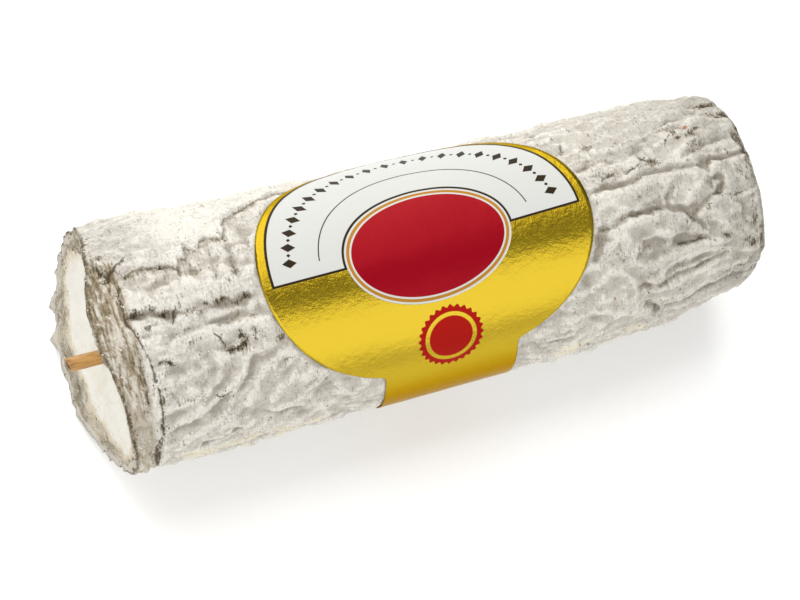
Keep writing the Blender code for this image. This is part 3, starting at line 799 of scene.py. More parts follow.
def new_piece(
    name: str, points: np.ndarray, faces: Sequence[Sequence[int]], finish: bpy.types.Material,
) -> bpy.types.Object:
    """Makes a smooth mesh object from points in mm, with its faces turned outward.

    Args:
        name: The object's name.
        points: Rows of x, y and z in mm.
        faces: Point numbers of each face.
        finish: Its material.

    Returns:
        The new object, at the origin.
    """
    mesh = bpy.data.meshes.new(name)
    mesh.from_pydata(((points - ORIGIN) * MM).tolist(), [], [tuple(map(int, quad)) for quad in faces])
    shape = bmesh.new()
    shape.from_mesh(mesh)
    bmesh.ops.recalc_face_normals(shape, faces=shape.faces)
    shape.to_mesh(mesh)
    shape.free()
    mesh.polygons.foreach_set("use_smooth", [True] * len(mesh.polygons))
    mesh.materials.append(finish)
    piece = bpy.data.objects.new(name, mesh)
    bpy.context.scene.collection.objects.link(piece)
    return piece


def add_mask(piece: bpy.types.Object, name: str, values: np.ndarray) -> None:
    """Stores one number a point on a piece's mesh under a name that its finish reads."""
    layer = piece.data.attributes.new(name, "FLOAT", "POINT")
    layer.data.foreach_set("value", np.ascontiguousarray(values, dtype=np.float32))


def joined(operation: str, flipped: bool = False) -> Callable[..., "Socket"]:
    """A method that joins a socket with another value, or with none, by a Math node."""

    def method(self: "Socket", *others: "Socket | float") -> "Socket":
        """Adds the Math node."""
        values = (*others, self) if flipped else (self, *others)
        return self.graph.node("ShaderNodeMath", {"operation": operation}, dict(enumerate(values)))

    return method


class Socket:
    """A shader value that Python's arithmetic works on.

    Beside the operators it has the larger of two values, the angle in radians of the point
    (other, self), the square root, the sine and cosine of an angle, and the nearest whole number.
    """

    __add__, __radd__ = joined("ADD"), joined("ADD", True)
    __sub__, __rsub__ = joined("SUBTRACT"), joined("SUBTRACT", True)
    __mul__, __truediv__ = joined("MULTIPLY"), joined("DIVIDE")
    __abs__, largest, angle_with = joined("ABSOLUTE"), joined("MAXIMUM"), joined("ARCTAN2")
    root, sine, cosine, nearest = joined("SQRT"), joined("SINE"), joined("COSINE"), joined("ROUND")

    def __init__(self, graph: "Graph", socket: bpy.types.NodeSocket) -> None:
        """Wraps an output socket of a graph."""
        self.graph = graph
        self.socket = socket

    def rise(self, low: float, high: float) -> "Socket":
        """A smooth step from 0 at low to 1 at high."""
        return self.graph.node(
            "ShaderNodeMapRange", {"interpolation_type": "SMOOTHSTEP", "clamp": True},
            {"Value": self, "From Min": low, "From Max": high, "To Min": 0.0, "To Max": 1.0},
        )

    def fall(self, low: float, high: float) -> "Socket":
        """A smooth step from 1 at low to 0 at high."""
        return self.graph.node(
            "ShaderNodeMapRange", {"interpolation_type": "SMOOTHSTEP", "clamp": True},
            {"Value": self, "From Min": low, "From Max": high, "To Min": 1.0, "To Max": 0.0},
        )


class Graph:
    """A material's nodes, with one method for any node and a few for what is used often."""

    def __init__(self, name: str) -> None:
        """Starts an empty material of this name."""
        self.material = bpy.data.materials.new(name)
        self.material.use_nodes = True
        self.tree = self.material.node_tree
        self.tree.nodes.clear()

    def node(
        self, kind: str, settings: dict | None = None, inputs: dict | None = None, output: int | str = 0,
    ) -> Socket:
        """Adds a node.

        Args:
            kind: The node's type.
            settings: Its properties, set first.
            inputs: Values or sockets, by the name or number of the node's socket.
            output: The name or number of the wanted output.

        Returns:
            That output.
        """
        made = self.tree.nodes.new(kind)
        for name, value in (settings or {}).items():
            setattr(made, name, value)
        for name, value in (inputs or {}).items():
            target = made.inputs[name]
            if isinstance(value, Socket):
                self.tree.links.new(value.socket, target)
            elif isinstance(value, tuple) and len(value) == 3 and target.type == "RGBA":
                target.default_value = (*value, 1.0)
            else:
                target.default_value = value
        return Socket(self, made.outputs[output])

    def mix(self, share: Socket | float, first: Socket | Colour, second: Socket | Colour) -> Socket:
        """Blends two colours, from the first at share 0 to the second at 1."""
        settings = {"data_type": "RGBA", "clamp_factor": True}
        return self.node("ShaderNodeMix", settings, {0: share, 6: first, 7: second}, 2)

    def coats(self, colour: Socket | Colour, tones: Iterable[tuple[Socket, Socket | Colour]]) -> Socket:
        """Lays colours over one another, each by the share that stands before it."""
        for share, tone in tones:
            colour = self.mix(share, colour, tone)
        return colour

    def place(self) -> Socket:
        """The object coordinates in mm."""
        spot = self.node("ShaderNodeTexCoord", output="Object")
        return self.node("ShaderNodeVectorMath", {"operation": "SCALE"}, {0: spot, "Scale": 1.0 / MM})

    def stretch(self, spot: Socket, sizes: Colour) -> Socket:
        """Divides a place by a size for each axis."""
        return self.node("ShaderNodeVectorMath", {"operation": "DIVIDE"}, {0: spot, 1: sizes})

    def grain(self, spot: Socket, size: float, detail: float = 3.0, rough: float = 0.55) -> Socket:
        """Noise around 0.5 with lumps of a size in mm."""
        inputs = {"Vector": spot, "Scale": 1.0 / size, "Detail": detail, "Roughness": rough}
        return self.node("ShaderNodeTexNoise", {"normalize": True}, inputs)

    def mask(self, name: str) -> Socket:
        """Reads a mask of the mesh."""
        return self.node("ShaderNodeAttribute", {"attribute_name": name}, output="Fac")

    def bump(self, height: Socket, distance: float, strength: float = 1.0, normal: Socket | None = None) -> Socket:
        """Turns a height into a bent normal; distance is in mm for a height of 1."""
        inputs = {"Height": height, "Distance": distance * MM, "Strength": strength}
        if normal is not None:
            inputs["Normal"] = normal
        return self.node("ShaderNodeBump", None, inputs)

    def finish(self, inputs: dict) -> bpy.types.Material:
        """Adds the surface shader and the output.

        Args:
            inputs: Values or sockets of the Principled shader.

        Returns:
            The finished material.
        """
        shader = self.node("ShaderNodeBsdfPrincipled", None, inputs)
        self.node_output(shader)
        return self.material

    def node_output(self, shader: Socket) -> None:
        """Joins a shader to the material's output."""
        end = self.tree.nodes.new("ShaderNodeOutputMaterial")
        self.tree.links.new(shader.socket, end.inputs["Surface"])


@dataclass(frozen=True)
class RindFinish:
    """Chalky grey-white mould over creamy paste, with olive-brown in its cracks, painted shade in its hollows and
    under the cap's lip, and painted light on its rises.
    """

    white: Colour = tint(229, 225, 216)
    pale: Colour = tint(215, 210, 200)
    grey: Colour = tint(193, 188, 178)
    slate: Colour = tint(158, 153, 144)
    shade: Colour = tint(146, 138, 123)
    umber: Colour = tint(122, 111, 90)
    brown: Colour = tint(144, 127, 101)
    olive: Colour = tint(78, 68, 46)
    soot: Colour = tint(52, 48, 40)
    cream: Colour = tint(226, 218, 194)
    rust: Colour = tint(168, 112, 66)
    paste: Colour = tint(234, 231, 222)
    fuzz: Colour = tint(174, 162, 139)
    cream_fuzz: Colour = tint(214, 200, 172)

    def make(self) -> bpy.types.Material:
        """Builds the rind's material.

        Returns:
            The material.
        """
        graph = Graph("cheese_rind")
        spot, mask = graph.place(), graph.mask
        coarse = graph.grain(spot, 6.5, 3.0)
        middle = graph.grain(spot, 2.0, 4.0, 0.6)
        fine = graph.grain(spot, 0.6, 4.0, 0.65)
        powder = graph.grain(spot, 0.24, 2.0, 0.6)
        hair = graph.grain(graph.stretch(spot, (0.34, 1.5, 1.5)), 1.0, 3.0, 0.6)
        strand = graph.grain(graph.stretch(spot, (0.42, 3.0, 3.0)), 1.0, 3.0, 0.55)
        drawn = graph.grain(graph.stretch(spot, (2.0, 1.1, 6.0)), 1.0, 3.0, 0.6)
        around = graph.node("ShaderNodeAttribute", {"attribute_name": "rim_way"}, output="Vector")
        fibre = graph.grain(around, 1.0, 4.0, 0.6)
        vein = abs(graph.grain(spot, 2.8, 3.0, 0.6) - 0.5).fall(0.0, 0.035) * coarse.rise(0.42, 0.56)
        broad, mid, tiny = coarse - 0.5, middle - 0.5, fine - 0.5
        ragged = tiny * 1.1 + (powder - 0.5) * 0.5

        hollow, sunk, chill = mask("hollow"), mask("sunk"), mask("chill")
        plain = graph.mix((coarse * 0.8 + middle * 0.6).rise(0.52, 0.92), self.grey, self.pale)
        colour = graph.coats(plain, (
            # The next five coats are painted shading: slate and brown in broad hollows, white on rises and ridges,
            # shade in narrow hollows.
            ((sunk + mid * 0.8).rise(-0.1, 1.3) * 0.32, self.slate),
            ((sunk + mid * 1.6).rise(0.5, 1.9) * 0.26, self.brown),
            (sunk.fall(-0.8, 0.0) * 0.35, self.white),
            ((hollow + ragged).fall(-0.9, 0.2) * (0.3 + middle * 0.9), self.white),
            ((hollow + ragged * 1.3).rise(0.4, 1.7) * 0.38, self.shade),
            ((hair + broad * 0.4).rise(0.52, 0.66) * 0.30, self.slate),
            (chill * (0.2 + (middle + broad).rise(0.40, 0.6) * 0.5), self.slate),
            (fine.rise(0.40, 0.64) * coarse.rise(0.30, 0.62) * 0.34, self.slate),
            ((powder + mid * 0.8).rise(0.58, 0.78) * 0.26, self.shade),
            ((fine + broad * 0.9).rise(0.64, 0.80) * 0.26, self.shade),
        ))

        edge, zone = mask("edge") + tiny * 0.9 + mid * 0.9, mask("edge_zone")
        above = edge.rise(0.1, 0.5) * zone
        band, under = mask("band"), mask("under")
        streak = mask("brown") + tiny * 1.1 + mid * 0.8 + (strand - 0.5) * 2.6
        fluff = mask("fluff") + ragged * 0.8 + (0.5 - strand) * 2.4 * band
        # A thin band just under the cap's edge, laid umber below as painted shadow of the cap's lip.
        lip = edge.rise(-0.55, -0.15) * edge.fall(-0.05, 0.15) * zone
        colour = graph.coats(colour, (
            (edge.rise(-0.1, 0.2) * zone * (1.0 - chill) * (0.5 + middle * 0.7), self.white),
            (above * (fine + broad).rise(0.50, 0.68) * 0.3, self.slate),
            (above * chill * (middle + ragged * 0.4).rise(0.46, 0.62) * 0.5, self.slate),
            (edge.rise(0.5, 2.0) * zone * vein * 0.45, self.slate),
            ((mask("cream") + mid * 1.2).rise(0.45, 0.75) * 0.7, self.cream),
            # Under the cap's lip: lightened, then brown strokes that are partly the rind's tint and partly painted
            # shade of the overhang.
            (under * 0.4, self.pale),
            (under * (hair + ragged * 0.4).rise(0.50, 0.66) * 0.28, self.brown),
            (band * (0.25 + middle * 0.5), self.fuzz),
            (streak.rise(0.30, 0.80) * 0.8, self.brown),
            (streak.rise(0.80, 1.15) * 0.7, self.umber),
            ((streak + ragged * 0.8).rise(1.05, 1.40) * 0.6, self.olive),
            (fluff.rise(0.30, 0.75) * 0.65, self.pale),
            (mask("furrow") * fine.rise(0.38, 0.6) * 0.55, self.brown),
            # Umber along crease bottoms: brown staining and painted shade.
            ((mask("crease") + tiny * 1.2 + mid * 1.4).rise(0.25, 0.9) * 0.75, self.umber),
            # Painted shadow of the cap's lip.
            (lip * (middle + ragged * 0.6).rise(0.32, 0.58) * 0.8, self.umber),
        ))

        # Dark: flecks, cracks and the folds' darkening, which is staining and, in the deeper hollows, painted shade.
        dark = mask("dark") + ragged * 1.2 + (hair - 0.5) * 2.0 + mid * 0.9
        line = abs(mask("side") + mid * 1.1 + tiny * 0.35).fall(0.02, 0.27)
        crack = line * (mask("trace") + ragged * 0.6 + mid * 2.4).rise(0.38, 0.8)
        rim = mask("rim")
        colour = graph.coats(colour, (
            (dark.rise(0.22, 0.70) * 0.6, self.umber),
            (dark.rise(0.62, 0.98) * 0.85, self.olive),
            ((dark + (powder - 0.5) * 0.5).rise(0.86, 1.15) * 0.8, self.soot),
            (crack * 0.8, self.olive),
            ((rim + ragged * 0.9).rise(0.45, 0.85) * 0.6, self.umber),
            ((rim + mid * 1.6 + ragged).rise(0.75, 1.1) * 0.85, self.olive),
            ((mask("rust") + ragged * 0.3).rise(0.5, 0.7) * 0.85, self.rust),
        ))

        ring = mask("ring")
        fuzz = graph.mix((middle * 0.7 + fine * 0.6).rise(0.48, 0.80), self.fuzz, self.grey)
        fuzz = graph.coats(fuzz, (
            ((middle + ragged * 0.3).fall(0.36, 0.52) * 0.75, self.umber),
            ((coarse + (fibre - 0.5) * 0.9).rise(0.44, 0.62) * 0.6, self.brown),
            ((fibre + ragged * 0.2).rise(0.54, 0.66) * 0.7, self.umber),
            ((fibre + ragged * 0.2).fall(0.34, 0.46) * 0.7, self.pale),
            ((hair + ragged * 0.5).rise(0.54, 0.66) * 0.6, self.pale),
            ((ring + broad * 1.5).fall(0.75, 1.05) * 0.45, self.cream_fuzz),
        ))
        face = graph.coats(self.paste, (
            ((coarse + mid * 0.5).rise(0.45, 0.70) * 0.25, self.cream_fuzz),
            (drawn.rise(0.48, 0.66) * 0.12, self.cream_fuzz),
            ((ring + ragged * 0.7 + mid * 0.9).rise(0.22, 0.5) * 0.75, self.cream_fuzz),
            ((ring + ragged * 0.9 + mid * 1.3).rise(0.60, 0.95), fuzz),
            ((mask("husk") + ragged * 0.6 + mid * 0.8).rise(0.35, 0.75) * 0.7, self.pale),
            ((mask("face_dark") + ragged + mid * 0.9).rise(0.35, 0.9) * 0.8, self.umber),
        ))
        colour = graph.mix(mask("face"), colour, face)

        relief = None
        for height, distance, strength in (
            (middle, 0.9, 0.5), (fine, 0.62, 0.7), (powder, 0.22, 0.8), (hair, 0.55, 0.7),
            (1.0 - crack, 0.25, 0.8), (fibre * ring, 1.1, 0.8),
        ):
            relief = graph.bump(height, distance, strength, relief)
        return graph.finish({
            "Base Color": colour, "Roughness": 0.72 + fine * 0.2, "Normal": relief, "Subsurface Weight": 0.05,
            "Subsurface Radius": (1.0, 0.8, 0.55), "Subsurface Scale": 0.0006, "Specular IOR Level": 0.2,
        })


@dataclass(frozen=True)
class StrawFinish:
    """Dry amber straw with fibres along it and dark flecks, and painted shade on its bore's inner wall."""

    amber: Colour = (0.37, 0.175, 0.038)
    pale: Colour = (0.49, 0.275, 0.08)
    dark: Colour = (0.17, 0.065, 0.015)

    def make(self) -> bpy.types.Material:
        """Builds the straw's material.

        Returns:
            The material.
        """
        graph = Graph("straw_fibre")
        spot = graph.place()
        fibre = graph.grain(graph.stretch(spot, (6.0, 0.35, 0.35)), 1.0, 4.0, 0.6)
        patches = graph.grain(graph.stretch(spot, (2.4, 0.9, 0.9)), 1.0, 3.0)
        colour = graph.mix(fibre.rise(0.35, 0.7), self.amber, self.pale)
        colour = graph.coats(colour, (
            (patches.rise(0.50, 0.72) * 0.65, self.dark),
            # The bore's inner wall is laid dark: painted shade inside the straw.
            (graph.mask("inside"), self.dark),
        ))
        relief = graph.bump(fibre, 0.18, 0.8)
        return graph.finish({
            "Base Color": colour, "Roughness": 0.38 + fibre * 0.25, "Normal": relief, "Coat Weight": 0.15,
            "Specular IOR Level": 0.4,
        })


@dataclass(frozen=True)
class DiamondRow:
    """A row of diamonds: its arc, how many fill half a turn, its start and half a diamond's sizes."""

    half_length: float
    half_width: float
    count: float
    start: float
    long: float
    high: float


@dataclass(frozen=True)
class LabelFinish:
    """Gold foil with a white horseshoe field, a red oval in rings and a red scalloped disc."""

    gold: Colour = tint(181, 155, 42)
    # Amber toward the tongue: a painted reflection of a yellow mat under the log.
    amber: Colour = tint(158, 112, 18)
    # Darker gold on the upper border: painted dimmer reflection.
    border_gold: Colour = tint(146, 122, 26)
    ring_gold: Colour = tint(158, 110, 36)
    white: Colour = tint(184, 185, 182)
    red: Colour = tint(135, 4, 24)
    seal_red: Colour = tint(148, 10, 10)
    black: Colour = tint(34, 26, 20)
    edge: float = 0.10
    line: float = 0.5
    field_half_length: float = 33.2
    field_half_width: float = 28.9
    field_bottom: float = 0.7
    oval_half_length: float = 16.15
    oval_half_width: float = 10.25
    ring_widths: Colour = (0.38, 0.62, 0.42)
    seal_v: float = 19.9
    seal_radius: float = 6.75
    seal_scallop: float = 0.28
    seal_scallops: float = 28.0
    seal_ring: float = 5.1
    seal_ring_half: float = 0.45
    rows: tuple[DiamondRow, ...] = (
        DiamondRow(28.6, 23.6, 22.0, 0.0, 0.95, 1.5), DiamondRow(28.6, 23.6, 22.0, 0.5, 0.42, 0.42),
    )
    fine_line: tuple[float, float] = (22.6, 17.6)
    fine_line_half: float = 0.12
    marks_end: float = 2.4

    def ellipse(self, u: Socket, v: Socket, half_length: float, half_width: float) -> Socket:
        """About how far in mm a place is outside an ellipse round the label's centre."""
        first, second = u * (1.0 / half_length), v * (1.0 / half_width)
        scaled = (first * first + second * second).root()
        first, second = u * (1.0 / half_length**2), v * (1.0 / half_width**2)
        slope = (first * first + second * second).root().largest(1e-4)
        return scaled * (scaled - 1.0) / slope

    def inside(self, distance: Socket) -> Socket:
        """1 where a distance is below nothing, with a soft edge."""
        return distance.fall(-0.5 * self.edge, 0.5 * self.edge)

    def diamonds(self, u: Socket, v: Socket, row: "DiamondRow") -> Socket:
        """A row of small diamonds along an arc of the white field.

        Args:
            u: Places along the label.
            v: Places round the log.
            row: The row's sizes.

        Returns:
            Cover between 0 and 1.
        """
        turn = (v * (1.0 / row.half_width)).angle_with(u * (1.0 / row.half_length))
        cell = turn * (row.count / math.pi) + row.start
        across, over = turn.sine() * row.half_length, turn.cosine() * row.half_width
        pace = (across * across + over * over).root() * (math.pi / row.count)
        along = abs(cell - cell.nearest()) * pace
        lift = abs(self.ellipse(u, v, row.half_length, row.half_width))
        return self.inside((along * (1.0 / row.long) + lift * (1.0 / row.high) - 1.0) * (0.7 * row.long))

    def make(self) -> bpy.types.Material:
        """Builds the label's material.

        Returns:
            The material.
        """
        graph = Graph("label_foil")
        layout = graph.node("ShaderNodeUVMap", {"uv_map": "layout"})
        parts = graph.tree.nodes.new("ShaderNodeSeparateXYZ")
        graph.tree.links.new(layout.socket, parts.inputs[0])
        u = (Socket(graph, parts.outputs[0]) - 0.5) * LAYOUT_SIZE
        v = (Socket(graph, parts.outputs[1]) - 0.5) * LAYOUT_SIZE
        spot = graph.place()

        oval = self.ellipse(u, v, self.oval_half_length, self.oval_half_width)
        upper = self.inside(v - self.field_bottom)
        field = self.inside(self.ellipse(u, v, self.field_half_length, self.field_half_width)) * upper
        inner = self.ellipse(u, v, self.field_half_length - self.line, self.field_half_width - self.line)
        white_field = self.inside(inner) * self.inside(v - self.field_bottom + self.line)
        rings_end = sum(self.ring_widths)

        # Gold turning amber toward the tongue: painted reflection of a yellow mat.
        colour = graph.mix(v.rise(25.0, 36.0) * 0.8, self.gold, self.amber)
        colour = graph.coats(colour, (
            # Darker gold over the upper border: painted dimmer reflection.
            (v.fall(-3.0, 6.0), self.border_gold),
            (field, self.black),
            (white_field, self.white),
        ))
        marks = self.inside(abs(self.ellipse(u, v, *self.fine_line)) - self.fine_line_half)
        for row in self.rows:
            marks = marks.largest(self.diamonds(u, v, row))
        span = self.inside(v + self.marks_end) * white_field
        colour = graph.coats(colour, (
            (marks * span, self.black),
            (self.inside(oval - rings_end - self.line) * upper, self.black),
            (self.inside(oval - rings_end), self.white),
            (self.inside(oval - self.ring_widths[0] - self.ring_widths[1]), self.ring_gold),
            (self.inside(oval - self.ring_widths[0]), self.white),
            (self.inside(oval), self.red),
        ))

        from_seal = v - self.seal_v
        reach = (u * u + from_seal * from_seal).root()
        wave = (from_seal.angle_with(u) * self.seal_scallops).cosine() * self.seal_scallop
        seal = self.inside(reach - self.seal_radius + wave)
        seal_ring = self.inside(abs(reach - self.seal_ring) - self.seal_ring_half)
        colour = graph.coats(colour, (
            (seal, self.seal_red),
            (seal_ring, self.gold),
        ))

        printed = field.largest(self.inside(oval - rings_end)).largest(seal * (1.0 - seal_ring))
        foil = 1.0 - printed
        crinkle = graph.grain(spot, 1.1, 4.0, 0.65)
        speck = graph.grain(spot, 0.28, 3.0, 0.6)
        waves = graph.grain(spot, 6.0, 2.0)
        relief_share = 0.35 + foil * 0.65
        relief = graph.bump(waves, 0.30, 0.4)
        relief = graph.bump(crinkle * relief_share, 0.20, 0.55, relief)
        relief = graph.bump(speck * relief_share, 0.06, 0.5, relief)
        tinted = self.inside(oval).largest(seal * (1.0 - seal_ring))
        return graph.finish({
            "Base Color": colour, "Metallic": foil * 0.97 + tinted * 0.2,
            "Roughness": 0.17 + printed * 0.14 + speck * 0.08, "Normal": relief,
            "Specular IOR Level": 0.09, "Specular Tint": (1.0, 0.80, 0.42, 1.0),
        })


@dataclass
class CheeseBody:
    """The cheese: rind, dished large end, small end and the straw's bore."""

    form: LogForm
    relief: RindRelief
    grain: GrainNoise
    fine_step: float = 0.43
    coarse_step: float = 0.85
    coarse_span: tuple[float, float] = (-29.0, 24.0)
    fine_angle: float = 1.02
    coarse_angle: float = 1.75
    fine_arc: tuple[float, float] = (-92.0, 112.0)
    face_rings: int = 34
    small_face_rings: int = 9
    left_turns: tuple[float, ...] = (0.0, 0.5, 1.0)
    rim_flaps: Stations3 = ((224.0, 3.2, 1.3), (206.5, 3.6, 1.7), (192.0, 4.0, 0.4), (166.0, 5.0, 0.4))
    right_turns: tuple[float, ...] = (0.15, 0.3, 0.45, 0.6, 0.75, 0.9, 1.05, 1.2, 1.35, 1.48)

    def stations(self) -> np.ndarray:
        """Shares of the skin's length, close together where the rind shows."""
        start = self.form.left_rim_x + self.form.left_edge
        end = self.form.right_rim_x - self.form.right_edge
        places = [start]
        while places[-1] < end:
            hidden = self.coarse_span[0] < places[-1] < self.coarse_span[1]
            places.append(places[-1] + (self.coarse_step if hidden else self.fine_step))
        return (np.array(places) - start) / (places[-1] - start)

    def angles(self) -> np.ndarray:
        """Angles of the sectors, close together where the rind faces up and forward."""
        places = [self.fine_arc[0]]
        while places[-1] < self.fine_arc[0] + 360.0:
            shown = places[-1] < self.fine_arc[1]
            places.append(places[-1] + (self.fine_angle if shown else self.coarse_angle))
        scale = 360.0 / (places[-1] - places[0])
        return places[0] + (np.array(places[:-1]) - places[0]) * scale

    def left_edge(self, angles: np.ndarray) -> np.ndarray:
        """The large end's flaky rim, as places along the log by angle."""
        turns = np.radians(angles)
        circle = np.column_stack((np.cos(turns), np.sin(turns), np.zeros(len(turns))))
        flakes = np.array([noise.noise(Vector(9.0 * spot) / 2.2 + Vector((11.3, -11.3, 5.65))) for spot in circle])
        teeth = self.grain.layers(circle * self.form.large_end_radius, 2.2, 2)
        turned = wrap(angles, self.form.rim_start)
        under = step(95.0, 150.0, turned) * drop(240.0, 275.0, turned)
        nicks = self.grain.layers(circle * self.form.large_end_radius + 60.0, 0.95, 1)
        flaps = sum(size * np.exp(-((wrap(angles - place) / wide) ** 2)) for place, wide, size in self.rim_flaps)
        return (self.form.left_rim_x - self.form.outstand(angles) - 0.5 * flakes
                - 0.30 * teeth - 0.16 * nicks - under * 0.35 * step(0.15, 0.75, teeth) - flaps)

    def skin(self) -> tuple[list[np.ndarray], dict[str, np.ndarray]]:
        """The skin's rings from the large end to the small one.

        Returns:
            The rings' points, and the masks of all of them in order.
        """
        angles = self.angles()
        count = len(angles)
        left = self.left_edge(angles)
        places: list[tuple[np.ndarray, np.ndarray | float]] = []
        for turn in self.left_turns:
            inset = self.form.left_edge * (1.0 - math.cos(turn))
            places.append((left + inset, -0.6 * self.form.left_edge * (1.0 - math.sin(turn))))
        start = left + self.form.left_edge
        edge = self.form.right_edge * table(self.form.right_edge_share, wrap(angles))
        end = self.form.right_rim_x + table(self.form.right_outstand, wrap(angles)) - edge
        places += [(start + (end - start) * share, 0.0) for share in self.stations()]
        for turn in self.right_turns:
            places.append((end + edge * math.sin(turn), -edge * (1.0 - math.cos(turn))))
        x = np.concatenate([place for place, _ in places])
        inward = np.concatenate([np.broadcast_to(drop, (count,)) for _, drop in places])
        angle = np.tile(angles, len(places))
        base = self.form.points(x, angle, self.form.radius(x))
        height, masks = self.relief.build(x, angle, base)
        flat = step(1.2, 2.6, base[:, 2])
        height = np.where(height > 0.0, height * flat, height)
        points = self.form.points(x, angle, self.form.radius(x) + inward + height)
        points[:, 2] = np.maximum(points[:, 2], 0.0)
        grid = height.reshape(len(places), count)
        # Relief depths that the finish turns into painted shading: darker in hollows, lighter on rises.
        masks["hollow"] = self.cavity(grid, 6, 6.0).ravel()
        masks["sunk"] = self.cavity(grid, 45, 2.2).ravel()
        return list(points.reshape(len(places), count, 3)), masks

    def cavity(self, height: np.ndarray, rounds: int, gain: float) -> np.ndarray:
        """How far each point lies below its surroundings.

        Args:
            height: The relief's height, a row for each ring.
            rounds: How many times the surroundings are smoothed.
            gain: What the depth in mm is multiplied by.

        Returns:
            The depth, positive in hollows and negative on ridges.
        """
        near = height
        for _ in range(rounds):
            near = (near + np.roll(near, 1, 1) + np.roll(near, -1, 1)) / 3.0
            padded = np.vstack((near[:1], near, near[-1:]))
            near = (padded[:-2] + padded[1:-1] + padded[2:]) / 3.0
        return (near - height) * gain

    def face(self, rim: np.ndarray, centre_x: float, power: float, lumps: float, count: int) -> list[np.ndarray]:
        """Rings of an end face between its rim and the straw's bore.

        Args:
            rim: The points of the rim's ring.
            centre_x: Where the face's middle is along the log.
            power: How fast the face rises to its rim.
            lumps: The height of its lumps.
            count: How many rings.

        Returns:
            The rings, from the rim inward.
        """
        axis = np.array((self.form.straw_side, float(self.form.height(centre_x))))
        bore = self.form.straw_radius + self.form.straw_clearance
        flat = rim[:, 1:] - axis
        reach = np.linalg.norm(flat, axis=1)
        even = np.mean([np.roll(rim[:, 0], shift) for shift in range(-8, 9)], axis=0)
        rings = []
        for k in range(1, count + 1):
            share = (1.0 - k / count) ** 0.8
            radius = bore + (reach - bore) * share
            rho = radius / reach
            x = centre_x + (even - centre_x) * rho**power + (rim[:, 0] - even) * rho**14
            ring = np.column_stack((x, axis + flat * rho[:, None]))
            fade = 4.0 * share * (1.0 - share)
            rough = step(0.66, 0.9, rho)
            ring[:, 0] += lumps * fade * self.grain.layers(ring, 6.0, 2)
            ring[:, 0] -= 0.75 * rough * np.minimum(1.0, fade * 3.0) * self.grain.layers(ring + 33.0, 2.8, 3)
            rings.append(ring)
        return rings

    def face_masks(self, rings: list[np.ndarray], rim: np.ndarray, ripe: bool) -> dict[str, np.ndarray]:
        """The masks of a face.

        Args:
            rings: Its rings.
            rim: Its rim's points.
            ripe: Whether mould covers all of it.

        Returns:
            The masks by name.
        """
        axis = np.array((self.form.straw_side, float(self.form.height(rim[0, 0]))))
        points = np.concatenate(rings)
        reach = np.tile(np.linalg.norm(rim[:, 1:] - axis, axis=1), len(rings))
        flat = points[:, 1:] - axis
        rho = np.linalg.norm(flat, axis=1) / reach
        upright = np.abs(flat[:, 1]) / (np.linalg.norm(flat, axis=1) + 1e-9)
        fray = self.grain.layers(points, 3.4, 2)
        far = step(0.0, 18.0, flat[:, 0]) * (0.4 + 0.6 * step(-6.0, 10.0, flat[:, 1]))
        start = 0.90 - 0.17 * upright**1.5 * (1.0 - 0.7 * step(0.0, 12.0, flat[:, 1])) - 0.07 * far
        past = rho - start + 0.035 * fray
        ring = unit(0.5 + 7.0 * past)
        outer = unit(1.0 - np.abs(past - 0.04) / 0.07)
        bore = drop(0.0, 0.04, rho - 0.085)
        if ripe:
            mould = step(-0.1, 0.5, self.grain.layers(points + 90.0, 2.0, 3))
            return {"ring": bore, "face": bore, "face_dark": bore, "chill": np.full(len(points), 0.9),
                    "side": np.full(len(points), 3.0), "dark": 0.62 * mould}
        edge = step(0.9, 1.0, rho) + 0.3 * ring
        dark_edge = 0.8 * far * step(0.935, 0.985, rho) * np.clip(0.8 + fray, 0.0, 1.2)
        # Darker over the ring's upper part.
        darker_part = 0.62 * ring * step(-4.0, 8.0, flat[:, 1])
        pits = 0.8 * np.exp(-(((flat[:, 1] / reach + 0.87) / 0.06) ** 2) - ((flat[:, 0] / 3.5) ** 2))
        inner = 0.7 * (1.0 - unit(np.abs(past - 0.03) / 0.035)) * step(-0.1, 0.5, fray)
        husk = ring * step(0.925, 0.96, rho + 0.02 * fray) * (1.0 - 0.7 * step(0.0, 12.0, flat[:, 1]))
        darkened = np.maximum.reduce(((0.45 + 0.5 * far) * outer, bore, dark_edge, pits, darker_part, inner))
        return {"ring": ring, "face": np.ones(len(points)), "face_dark": darkened, "husk": husk,
                "crumb": 0.4 * edge, "speck": 0.3 * edge}

